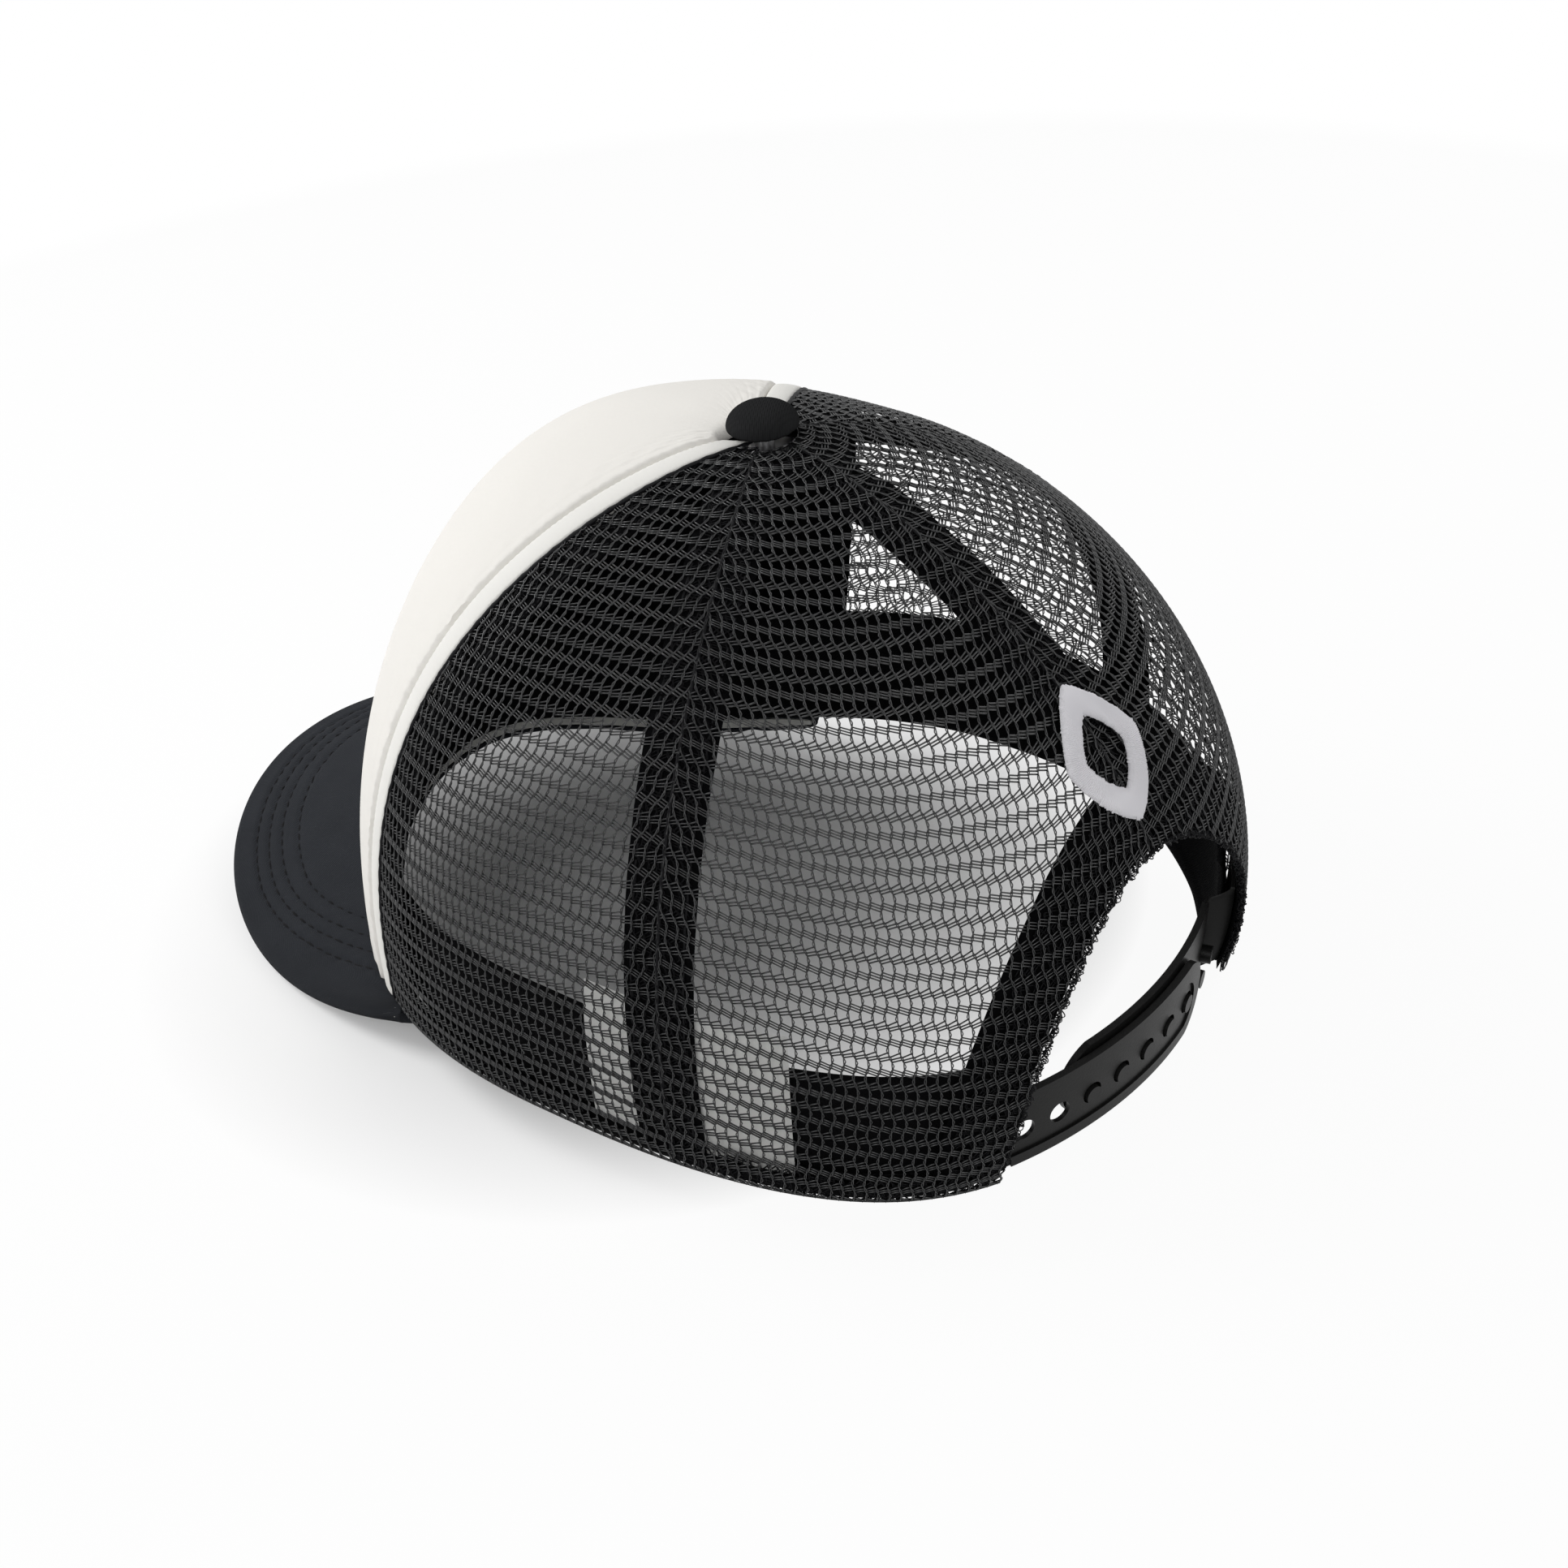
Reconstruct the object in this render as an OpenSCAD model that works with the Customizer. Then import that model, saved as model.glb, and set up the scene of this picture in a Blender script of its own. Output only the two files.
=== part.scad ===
// Trucker cap: foam front panel, four net panels, arched bill and a snap strap.
// Millimetres. +Z is up, the bill points to -Y and the wearer's left is +X.
// The origin lies on the ground under the crown's axis.
// Angles along the rim are in degrees from the front, growing towards +X.

/* [Crown] */
// Half width of the crown at its rim
half_width = 82; // [76:0.5:88]
// Reach of the rim in front of the crown's axis
front_reach = 100.5; // [94:0.5:108]
// Reach of the rim behind the crown's axis
back_reach = 94.5; // [90:0.5:100]
// Height of the net under the button
crown_height = 128; // [112:1:138]
// How far the top sits behind the crown's axis
top_setback = 8.5; // [0:0.5:14]
// Radius of the hole left at the top for the button's shank
top_hole = 6; // [5:0.25:7]
// How far the front is pulled down round the button
top_dish = 3; // [0:0.25:4]
// Radius over which it is pulled down
dish_radius = 18; // [14:0.5:24]

/* [Crown shape] */
// How square the front's profile is
front_shoulder = 3; // [2.4:0.1:3.2]
// How square the sides' profile is
side_shoulder = 1.85; // [1.7:0.05:2.3]
// How square the back's profile is
back_shoulder = 1.7; // [1.6:0.05:2.3]
// How upright the front is
front_fullness = 2.05; // [1.8:0.05:2.3]
// How upright the sides are
side_fullness = 2.2; // [1.8:0.05:2.4]
// How upright the back is
back_fullness = 1.7; // [1.6:0.05:2.2]
// Bulge of the front above the rim, as a share of the reach
front_belly = -0.05; // [-0.08:0.01:0.06]
// Bulge of the sides above the rim, as a share of the width
side_belly = 0.13; // [0.04:0.01:0.18]
// Bulge of the back above the rim, as a share of the reach
back_belly = 0.2; // [0.08:0.01:0.24]
// Roundness of the back of the rim: 1 is an ellipse, less is flatter
back_roundness = 0.72; // [0.66:0.02:1]

/* [Rim] */
// Lift of the front of the rim above its back
rim_lift = 12; // [6:0.5:16]
// Extra rise of the rim over the middle of the bill
bill_rise = 13; // [6:0.5:18]
// Angle from the front at which that rise ends
bill_rise_angle = 45; // [36:1:54]
// Rise of the rim over the ears
side_rise = 6.5; // [0:0.5:10]
// Angle from the front at which the rise over the ears ends
side_rise_end = 150; // [140:1:160]

/* [Seams] */
// Angle of the seam between the foam panel and the net, at the rim
front_seam = 56; // [50:1:62]
// Turn of that seam between the rim and the top
front_lean = 10; // [0:1:14]
// Angle of the seam between side and rear net, at the rim
side_seam = 104.5; // [98:0.5:110]
// Turn of that seam between the rim and the top
side_lean = 10; // [0:1:14]
// Gap between pieces sewn edge to edge
seam_gap = 0.3; // [0.2:0.05:0.5]

/* [Cloth] */
// Thickness of the net
net_thick = 0.8; // [0.6:0.1:1.2]
// Thickness of the foam panel
foam_thick = 3.2; // [2.4:0.1:4]
// How far the foam stands proud of the net
foam_proud = 0.4; // [0:0.1:0.8]
// Thickness of the lining behind the foam
lining_thick = 0.6; // [0.4:0.1:1]
// Gap between layers of cloth
layer_gap = 0.3; // [0.2:0.05:0.4]
// Width of the piping on the front seams
piping_width = 6.5; // [4:0.5:8]
// Thickness of the piping
piping_thick = 2.8; // [2:0.1:3.2]
// Thickness of the seam tapes
tape_thick = 0.8; // [0.5:0.1:1]
// Width of the tape on the side and back seams
tape_width = 15; // [10:0.5:18]
// Width of the tape behind the front seams
front_tape_width = 11; // [8:0.5:14]
// Widest turn that a tape or edge takes near the top
tape_turn = 20; // [14:1:20]

/* [Rear opening] */
// Half angle of the opening at the rim
arch_half = 29.5; // [26:0.5:32]
// Height of the opening
arch_height = 58; // [48:1:64]
// Gap between the net and the tape round the opening
arch_tape_gap = 0.6; // [0.5:0.05:0.8]
// Width of the tape round the opening
arch_tape_width = 15; // [10:0.5:18]

/* [Sweatband and label] */
// Angle at which the sweatband stops short of the opening
band_short = 1.5; // [1:0.25:4]
// Height of the sweatband
sweatband_height = 30; // [24:1:34]
// Thickness of the sweatband
sweatband_thick = 1.6; // [1:0.1:2]
// Depth of the sweatband's outer face under the net's outer face
sweatband_depth = 4.8; // [4.6:0.1:6]
// Width of the care label
label_width = 36; // [28:1:44]
// Height of the care label
label_height = 39; // [32:1:46]
// Thickness of the care label
label_thick = 0.4; // [0.3:0.05:0.5]
// Angle of the middle of the care label
label_angle = 107.5; // [100:0.5:114]

/* [Bill] */
// Reach of the bill in front of the crown
bill_reach = 50; // [46:1:64]
// How much narrower than the crown the bill is on each side
bill_inset = 8.5; // [2:0.5:11]
// How far its widest place lies behind the front of the rim
bill_corner_back = 40.5; // [38:0.5:43]
// Roundness of the bill's outline: 2 is an ellipse
bill_round = 2.05; // [1.95:0.05:2.2]
// Half length of the horns' curve behind the widest place
horn_depth = 55; // [50:1:58]
// How far the outline turns past the widest place, in degrees
horn_turn = 11.5; // [9:0.5:16]
// Radius of the arch that the bill is bent to
bill_bend = 100; // [84:1:120]
// Slope of the bill, as a fall over its reach
bill_slope = 0.25; // [0.2:0.01:0.36]
// Angle from the front at which the bill leaves the rim
bill_angle = 61; // [60:0.5:64]
// Gap between the crown's rim and the bill
bill_gap = 0.7; // [0.4:0.1:0.8]
// How far the bill reaches in under the foam
bill_tuck = 3.6; // [2.5:0.1:4]
// Thickness of the stiffening board
board_thick = 2; // [1.5:0.1:2.6]
// Thickness of each cloth cover
cover_thick = 0.8; // [0.5:0.1:1.2]
// Width of the edge where the covers meet outside the board
edge_roll = 2.6; // [2:0.1:4]

/* [Button] */
// Diameter of the covered button
button_dia = 15.2; // [14:0.2:18]
// Height of the covered button
button_height = 6; // [4:0.25:8]
// Thickness of its cloth cover
button_cloth = 0.6; // [0.4:0.1:0.8]
// Thickness of its metal shell
button_wall = 0.6; // [0.4:0.1:0.8]
// Diameter of the shank through the top
shank_dia = 4; // [3:0.25:5]
// Diameter of the washer under the top
washer_dia = 17; // [15:0.5:19]
// Thickness of the washer under the top
washer_thick = 0.8; // [0.6:0.1:1.2]
// Clearance between the parts of the button
button_gap = 0.1; // [0.05:0.05:0.2]

/* [Snap strap] */
// Height of the straps
strap_height = 18.5; // [16:0.5:19.5]
// Thickness of the straps
strap_thick = 1.5; // [1.2:0.1:1.8]
// Outward lean of the straps in degrees
strap_lean = 8; // [4:1:10]
// Gap between the two snapped straps
strap_gap = 0.4; // [0.3:0.05:0.5]
// Gap between the straps and the tape at the opening's corners
strap_clear = 0.5; // [0.4:0.1:1]
// Height of the straps above the ground
strap_foot = 0.8; // [0.5:0.1:2]
// How much higher the peg strap sits
peg_strap_up = 1.6; // [0:0.1:2]
// Number of holes
holes = 7; // [6:1:7]
// Angle from the bend of the hole strap to its first hole
first_hole_turn = 2.8; // [2.8:0.1:3.2]
// Angle from the bend of the peg strap to its last peg
last_peg_turn = 2; // [2:0.1:2.4]
// Diameter of the holes
hole_dia = 4.9; // [4.7:0.1:5.2]
// Number of pegs
pegs = 7; // [6:1:7]
// Hole that the first peg is snapped into, counted from the sewn end
snapped_hole = 3; // [2:1:3]
// Diameter of the pegs
peg_dia = 3.9; // [3.6:0.1:4]
// How far the pegs stand out of the hole strap
peg_proud = 0.1; // [0:0.05:0.2]
// Depth of the recess that holds the row of holes
recess_depth = 0.5; // [0.3:0.05:0.6]
// Plain border above the recess
border_top = 4.5; // [3.5:0.25:5]
// Plain border below the recess
border_foot = 2.5; // [2:0.25:3]
// Length of the thin neck where a strap bends, as an angle
neck_angle = 0.8; // [0.6:0.1:0.8]
// Thickness of the thin neck
neck_thick = 0.6; // [0.5:0.1:0.8]
// Angle between the opening's corners and the bend of the straps
bend_turn = 1.3; // [1:0.1:1.4]
// Length of the sewn tab, as an angle
tab_angle = 7; // [5:0.5:9]
// Thickness of the sewn tab
tab_thick = 0.8; // [0.6:0.1:1]

/* [Embroidery] */
// Height of the lozenge above the rear opening
motif_height = 30; // [24:1:34]
// Width of the lozenge
motif_width = 22; // [16:1:26]
// Width of its satin stitch border
motif_border = 5; // [4:0.25:6]
// How far the stitches stand off the net
motif_raise = 1; // [0.6:0.1:1.4]
// Gap between the rear opening and the lozenge
motif_above = 5; // [3:0.5:8]

/* [Hidden] */
$fn = 64;

// Rows and columns of the lofted cloth
front_cols = 16;
side_cols = 8;
rear_cols = 7;
arch_cols = 7;
tape_cols = 2;
rows = 16;
band_cols = 48;
band_rows = 3;
bill_cols = 26;
bill_rows = 5;

// Depths of the layers under the net's outer face
net_in = -net_thick;
tape_out = net_in - layer_gap;
tape_in = tape_out - tape_thick;
foam_in = foam_proud - foam_thick;
lining_out = foam_in - layer_gap;
lining_in = lining_out - lining_thick;
band_out = -sweatband_depth;
band_in = band_out - sweatband_thick;
piping_out = foam_proud - 0.1;
half_piping = piping_width / 2;
edge_gap = seam_gap / 2;
arch_out = net_in - arch_tape_gap;
arch_in = arch_out - tape_thick;
tab_out = arch_in - layer_gap;
label_out = tape_in - layer_gap;

// Turn of each seam between the rim and the top
lean_table = [[0, 0], [front_seam, front_lean], [side_seam, side_lean], [180, 0]];
// Steps used to find a slope
angle_step = 0.5;
rise_step = 0.004;

function clamp01(v) = min(1, max(0, v));
function unit(v) = v / norm(v);
function from_front(a) = a > 180 ? 360 - a : abs(a);
function hand(a) = (a < 0 || a > 180) ? -1 : 1;

// Value that changes smoothly from front to side to back
function around(a, front, side, back) =
    let (c = cos(a), wf = pow(max(c, 0), 1.5), wb = pow(max(-c, 0), 1.5))
    front * wf + side * (1 - wf - wb) + back * wb;
function shoulder(a) = around(a, front_shoulder, side_shoulder, back_shoulder);
function fullness(a) = around(a, front_fullness, side_fullness, back_fullness);
function belly(a) = around(a, front_belly, side_belly, back_belly);

// Height of the rim, with the two corners of the rear opening on the ground
function rim_curve(q) =
    rim_lift * (1 + cos(q)) / 2
    + bill_rise * pow(max(0, 1 - pow(q / bill_rise_angle, 2)), 2)
    + side_rise * pow(sin(180 * clamp01((q - bill_rise_angle) / (side_rise_end - bill_rise_angle))), 2);
function rim_z(a) = rim_curve(from_front(a)) - rim_curve(180 - arch_half);

// Outer face of the crown at angle a; t is 0 at the rim and 1 at the top
function crown(a, t) =
    let (rho = pow(cos(90 * t), 2 / shoulder(a)) * (1 + belly(a) * sin(180 * t)),
         zeta = pow(sin(90 * t), 2 / fullness(a)),
         c = cos(a),
         reach = c > 0 ? front_reach : back_reach,
         round_y = c > 0 ? 1 : 1 + (back_roundness - 1) * (1 - zeta))
    [rho * half_width * sin(a),
     top_setback * zeta - rho * reach * sign(c) * pow(abs(c), round_y),
     rim_z(a) * (1 - zeta) + crown_height * zeta
     - around(a, top_dish, top_dish / 3, 0) * pow(max(0, 1 - rho * half_width / dish_radius), 2)];
function crown_normal(a, t) =
    unit(cross(crown(a + angle_step, t) - crown(a - angle_step, t),
               crown(a, min(1, t + rise_step)) - crown(a, max(0, t - rise_step))));

// The same face along the leaning seams, moved out by depth
function leaned(a, t) = a + hand(a) * lookup(from_front(a), lean_table) * t;
function cloth(a, t, depth) =
    let (b = leaned(a, t)) crown(b, t) + depth * crown_normal(b, t);
function mm_per_degree(a, t) =
    norm(cloth(a + angle_step, t, 0) - cloth(a - angle_step, t, 0)) / (2 * angle_step);
// Angle that lies mm beside angle a
function beside(a, t, mm) =
    a + max(-tape_turn, min(tape_turn, mm / mm_per_degree(a, t)));
// Place t at which the cloth ends round the button's shank
function top_t(a) = acos(pow(top_hole / half_width, shoulder(a) / 2)) / 90;
// Place t at a height above the rim
function t_at(a, height) =
    asin(pow(height / (crown_height - rim_z(a)), fullness(a) / 2)) / 90;

arch_t = t_at(180, arch_height - rim_z(180));
function arch_edge(a) = arch_t * sqrt(max(0, 1 - pow((180 - from_front(a)) / arch_half, 2)));

// Grid of [angle, t] over a panel whose columns start at the given angles;
// its two side edges are moved by mm, and an arched foot follows the rear opening
function panel_grid(angles, first_mm, last_mm, low = 0, high = 1, arched = false) =
    let (first = angles[0], last = angles[len(angles) - 1])
    [for (r = [0:rows]) [for (a = angles)
        let (top = top_t(a) * high,
             foot = arched ? max(top_t(a) * low, arch_edge(a)) : top_t(a) * low,
             t = foot + (top - foot) * r / rows,
             k = (a - first) / (last - first),
             a0 = beside(first, t, first_mm),
             a1 = beside(last, t, last_mm))
        [a0 + k * (a1 - a0), t]]];
// Grid of [angle, t] along one seam, from mm to mm beside it
function strip_grid(seam, first_mm, last_mm, low, high, cols = tape_cols) =
    [for (r = [0:rows]) [for (c = [0:cols])
        let (t = low + (high - low) * r / rows)
        [beside(seam, t, first_mm + (last_mm - first_mm) * c / cols), t]]];
function steps(from, to, count) = [for (i = [0:count]) from + (to - from) * i / count];

// Triangles of a closed sheet over a grid of points and the same grid under it
function sheet_faces(nr, nc) =
    let (n = nr * nc)
    concat(
        [for (r = [0:nr - 2]) for (c = [0:nc - 2]) let (i = r * nc + c)
            each [[i, i + nc, i + nc + 1], [i, i + nc + 1, i + 1],
                  [n + i, n + i + nc + 1, n + i + nc], [n + i, n + i + 1, n + i + nc + 1]]],
        [for (c = [0:nc - 2]) let (i = c, j = (nr - 1) * nc + c)
            each [[i, i + 1, n + i + 1], [i, n + i + 1, n + i],
                  [j + 1, j, n + j], [j + 1, n + j, n + j + 1]]],
        [for (r = [0:nr - 2]) let (i = r * nc, j = r * nc + nc - 1)
            each [[i + nc, i, n + i], [i + nc, n + i, n + i + nc],
                  [j, j + nc, n + j + nc], [j, n + j + nc, n + j]]]);
module sheet(over, under) {
    nr = len(over);
    nc = len(over[0]);
    polyhedron(points = concat([for (row = over) each row], [for (row = under) each row]),
               faces = sheet_faces(nr, nc));
}
// Cloth between two depths over a grid of [angle, t]
module cloth_sheet(grid, over, under) {
    sheet([for (row = grid) [for (g = row) cloth(g[0], g[1], over)]],
          [for (row = grid) [for (g = row) cloth(g[0], g[1], under)]]);
}
module on_right() mirror([1, 0, 0]) children();

// ---- Front ----
foam_edge = half_piping + edge_gap;
module front_panel() {
    color("ivory")
        cloth_sheet(panel_grid(steps(-front_seam, front_seam, front_cols), foam_edge, -foam_edge),
                    foam_proud, foam_in);
}
module front_lining() {
    color([0.08, 0.08, 0.09])
        cloth_sheet(panel_grid(steps(-front_seam, front_seam, front_cols), foam_edge, -foam_edge),
                    lining_out, lining_in);
}
module piping() {
    color("white")
        cloth_sheet(strip_grid(front_seam, -half_piping, half_piping, 0, top_t(front_seam)),
                    piping_out, piping_out - piping_thick);
}
module left_piping() piping();
module right_piping() on_right() piping();

// ---- Net panels ----
module side_net() {
    color([0.1, 0.1, 0.11])
        cloth_sheet(panel_grid(steps(front_seam, side_seam, side_cols),
                               half_piping + seam_gap, -edge_gap), 0, net_in);
}
module left_side_net() side_net();
module right_side_net() on_right() side_net();

// Columns run from the back seam to the side seam, closer together at the opening's corner
arch_angles = [for (i = [0:arch_cols - 1]) 180 - arch_half * sin(90 * i / arch_cols)];
module rear_net() {
    color([0.1, 0.1, 0.11])
        cloth_sheet(panel_grid(concat(arch_angles, steps(180 - arch_half, side_seam, rear_cols)),
                               -edge_gap, edge_gap, arched = true), net_in, 0);
}
module left_rear_net() rear_net();
module right_rear_net() on_right() rear_net();

// ---- Tapes ----
tape_first = half_piping + seam_gap;
module front_tape() {
    color([0.06, 0.06, 0.06])
        cloth_sheet(strip_grid(front_seam, tape_first, tape_first + front_tape_width,
                               0, top_t(front_seam)), tape_out, tape_in);
}
module left_front_tape() front_tape();
module right_front_tape() on_right() front_tape();
module side_tape() {
    color([0.06, 0.06, 0.06])
        cloth_sheet(strip_grid(side_seam, -tape_width / 2, tape_width / 2,
                               0, top_t(side_seam)), tape_out, tape_in);
}
module left_side_tape() side_tape();
module right_side_tape() on_right() side_tape();

// Width of the arch tape as a change of t over the arch, and as an angle at the rim
arch_tape_t = t_at(180, arch_height - rim_z(180) + arch_tape_width) - arch_t;
arch_tape_turn = arch_tape_width / mm_per_degree(180 - arch_half, 0);
module back_seam_tape() {
    color([0.06, 0.06, 0.06])
        cloth_sheet(strip_grid(180, -tape_width / 2, tape_width / 2,
                               arch_t + arch_tape_t + 0.01, top_t(180)), tape_out, tape_in);
}
module arch_tape() {
    turns = 24;
    grid = [for (r = [0:tape_cols]) [for (i = [0:turns])
        let (s = 180 * i / turns, k = r / tape_cols)
        [180 - (arch_half + k * arch_tape_turn) * cos(s), (arch_t + k * arch_tape_t) * sin(s)]]];
    color([0.06, 0.06, 0.06]) cloth_sheet(grid, arch_out, arch_in);
}

// ---- Sweatband and label ----
band_end = 180 - arch_half - band_short;
module sweatband() {
    grid = [for (r = [0:band_rows]) [for (a = steps(-band_end, band_end, band_cols))
        [a, t_at(a, sweatband_height) * r / band_rows]]];
    color([0.12, 0.12, 0.13]) cloth_sheet(grid, band_out, band_in);
}
label_turn = label_width / mm_per_degree(label_angle, 0.1) / 2;
module care_label() {
    label_rows = 4;
    label_foot = 1;
    grid = [for (r = [0:label_rows])
        [for (a = steps(label_angle - label_turn, label_angle + label_turn, 6))
            [a, t_at(a, label_foot + (label_height - label_foot) * r / label_rows)]]];
    color("white") cloth_sheet(grid, label_out, label_out - label_thick);
}

// ---- Embroidery ----
// Lozenge ring of satin stitch on the back seam, with a raised middle line
motif_mid_t = t_at(180, arch_height - rim_z(180) + motif_above + motif_height / 2);
motif_mm_turn = 1 / mm_per_degree(180, motif_mid_t);
motif_mm_t = 2 / norm(cloth(180, motif_mid_t + rise_step, 0) - cloth(180, motif_mid_t - rise_step, 0))
    * rise_step;
function lozenge(s, inset) =
    let (p = pow(abs(cos(s)), 1.5), q = pow(abs(sin(s)), 1.5))
    [180 + sign(cos(s)) * p * (motif_width / 2 - inset) * motif_mm_turn,
     motif_mid_t + sign(sin(s)) * q * (motif_height / 2 - inset * motif_height / motif_width)
         * motif_mm_t];
module back_embroidery() {
    around_steps = 32;
    function ring(inset, depth) = [for (i = [0:around_steps - 1])
        let (g = lozenge(360 * i / around_steps, inset)) cloth(g[0], g[1], depth)];
    top = motif_raise + layer_gap;
    edge = 0.3;
    rings = [ring(0, layer_gap), ring(edge, motif_raise * 0.8), ring(motif_border / 2, top),
             ring(motif_border - edge, motif_raise * 0.8), ring(motif_border, layer_gap)];
    n = around_steps;
    m = len(rings);
    color("whitesmoke")
        polyhedron(points = [for (ring = rings) each ring],
                   faces = [for (r = [0:m - 1]) for (i = [0:n - 1])
                       let (a = r * n + i, b = r * n + (i + 1) % n,
                            c = ((r + 1) % m) * n + i, d = ((r + 1) % m) * n + (i + 1) % n)
                       each [[a, c, d], [a, d, b]]]);
}

// ---- Bill ----
bill_half_width = half_width - bill_inset;
bill_corner = front_reach - bill_corner_back;
bill_half_thick = board_thick / 2 + layer_gap / 3 + cover_thick;
board_v = 1 - edge_roll / bill_reach;
board_u = 1 - edge_roll / (2 * bill_half_width);
function bill_outline(u) =
    let (turn = (90 + horn_turn) * u, s = sin(turn), c = cos(turn),
         depth = c > 0 ? front_reach + bill_reach - bill_corner : horn_depth)
    [bill_half_width * sign(s) * pow(abs(s), 2 / bill_round),
     -bill_corner - depth * sign(c) * pow(abs(c), 2 / bill_round)];
// Height of a sheet bent along X and sloping down to the front
function bent_sheet(p) = bill_slope * p[1] - p[0] * p[0] / (2 * bill_bend);
bill_low = min([for (u = steps(-1, 1, bill_cols)) bent_sheet(bill_outline(u))]);
function bill_outer(u) = let (p = bill_outline(u))
    [p[0], p[1], bent_sheet(p) - bill_low + cover_thick];
function bill_inner(u) =
    let (p = crown(bill_angle * u, 0), k = 1 - bill_tuck / front_reach)
    [p[0] * k, p[1] * k, p[2] - bill_gap - 1.2 * bill_half_thick];
function bill_mid(u, v) = bill_inner(u) * (1 - v) + bill_outer(u) * v;
function bill_normal(u, v) =
    unit(cross(bill_outer(u) - bill_inner(u), bill_mid(u + 0.01, v) - bill_mid(u - 0.01, v)));
function bill_at(u, v, depth) = bill_mid(u, v) + depth * bill_normal(u, v);
cover_u = concat([-0.999], steps(-board_u, board_u, bill_cols), [0.999]);
cover_v = concat(steps(0, board_v, bill_rows), [(1 + board_v) / 2, 1]);
// Room for rounding where a place on the board's own edge counts as inside
hair = 0.0001;
function inside(u, v) = abs(u) < board_u + hair && v < board_v + hair;
// Outer and inner depth of a cover; they close up to each other past the board
function cover_far(u, v) =
    bill_half_thick * (inside(u, v) ? 1 : v < 1 && abs(u) < board_u + hair ? 0.82 : 0.45);
function cover_near(u, v) = inside(u, v) ? board_thick / 2 + layer_gap / 3 : 0.03;
module bill_cover(side) {
    far = [for (v = cover_v) [for (u = cover_u) bill_at(u, v, side * cover_far(u, v))]];
    near = [for (v = cover_v) [for (u = cover_u) bill_at(u, v, side * cover_near(u, v))]];
    if (side > 0) sheet(near, far);
    else sheet(far, near);
}
module bill_board() {
    grid_v = steps(0, board_v, bill_rows);
    grid_u = steps(-board_u, board_u, bill_cols);
    color([0.85, 0.85, 0.82])
        sheet([for (v = grid_v) [for (u = grid_u) bill_at(u, v, -board_thick / 2)]],
              [for (v = grid_v) [for (u = grid_u) bill_at(u, v, board_thick / 2)]]);
}
module bill_top_cover() color([0.16, 0.17, 0.18]) bill_cover(1);
module bill_under_cover() color([0.14, 0.15, 0.16]) bill_cover(-1);

// ---- Button ----
// The button sits in the dish that the front is pulled into
button_z = crown_height + foam_proud + seam_gap
    - top_dish * pow(1 - button_dia / 2 / dish_radius, 2);
// Half section of a dome with a rounded rim
module dome_section(dia, height) {
    intersection() {
        translate([0, height * 0.3]) scale([dia / 2, height * 0.7]) circle(r = 1);
        translate([0, height * 0.3]) square([dia, height]);
    }
    intersection() {
        translate([0, height * 0.3]) scale([dia / 2, height * 0.3]) circle(r = 1);
        square([dia, height * 0.3 + 0.001]);
    }
}
module dome(dia, height) rotate_extrude() intersection() {
    dome_section(dia, height);
    square([dia, height * 2]);
}
module at_top(z) translate([0, top_setback, z]) children();
shell_dia = button_dia - 2 * (button_cloth + button_gap);
shell_height = button_height - button_cloth - button_gap;
module button_cover() {
    color([0.05, 0.05, 0.06]) at_top(button_z) difference() {
        dome(button_dia, button_height);
        translate([0, 0, -button_gap]) dome(shell_dia + 2 * button_gap, shell_height + 2 * button_gap);
        translate([0, 0, -1]) cylinder(d = shell_dia - 3, h = 2);
    }
}
washer_z = crown_height + lining_in - seam_gap - washer_thick
    - top_dish * pow(1 - top_hole / dish_radius, 2);
module button_shell() {
    color("silver") at_top(button_z) {
        difference() {
            dome(shell_dia, shell_height);
            translate([0, 0, -1]) cylinder(d = shell_dia - 3, h = 1 + shell_height * 0.3);
        }
        translate([0, 0, washer_z - button_z - washer_thick])
            cylinder(d = shank_dia, h = button_z - washer_z + washer_thick + shell_height * 0.5);
    }
}
module button_washer() {
    color("silver") at_top(washer_z) difference() {
        cylinder(d = washer_dia, h = washer_thick);
        translate([0, 0, -1]) cylinder(d = shank_dia + 2 * button_gap, h = washer_thick + 2);
    }
}

// ---- Snap strap ----
// Angles on the straps are seen from the crown's axis and start at the back
corner = crown(180 - arch_half, 0);
bend_angle = atan2(corner[0], corner[1]) - bend_turn;
strap_radius = norm([corner[0], corner[1]]) + arch_in - strap_clear - strap_thick;
peg_strap_radius = strap_radius - strap_gap - strap_thick;
pocket_height = strap_height - border_foot - border_top;
hole_level = border_foot + pocket_height / 2;
first_hole = bend_angle - first_hole_turn;
// The holes are spread so that the last peg sits beside its strap's bend
hole_pitch = (first_hole + bend_angle - last_peg_turn) / (snapped_hole + pegs - 2);
last_hole = first_hole - (holes - 1) * hole_pitch;
first_peg = first_hole - (snapped_hole - 1) * hole_pitch;
// The rounded end is centred just before the last hole or peg
end_turn = 1.9;
// Reach of a cut through a strap
cut_reach = 3 * strap_thick;
// The round of an end is a little wider than its strap, so that it meets the edges at an angle
end_round = 1.05;
// Part of a leaning band round the crown's axis, between two angles from the back
module band(radius, thick, foot, height, from, to) {
    lift = strap_foot + foot * cos(strap_lean);
    out = foot * sin(strap_lean);
    rotate([0, 0, 90 - to])
        rotate_extrude(angle = to - from, $fn = 128)
            translate([radius + out, lift])
                rotate(-strap_lean)
                    square([thick, height]);
}
// Places its children on a band, with their Z pointing out of it
module on_band(angle, radius, level) {
    rotate([0, 0, 90 - angle])
        translate([radius + level * sin(strap_lean), 0, strap_foot + level * cos(strap_lean)])
            rotate([0, 90 + strap_lean, 0])
                children();
}
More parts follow.
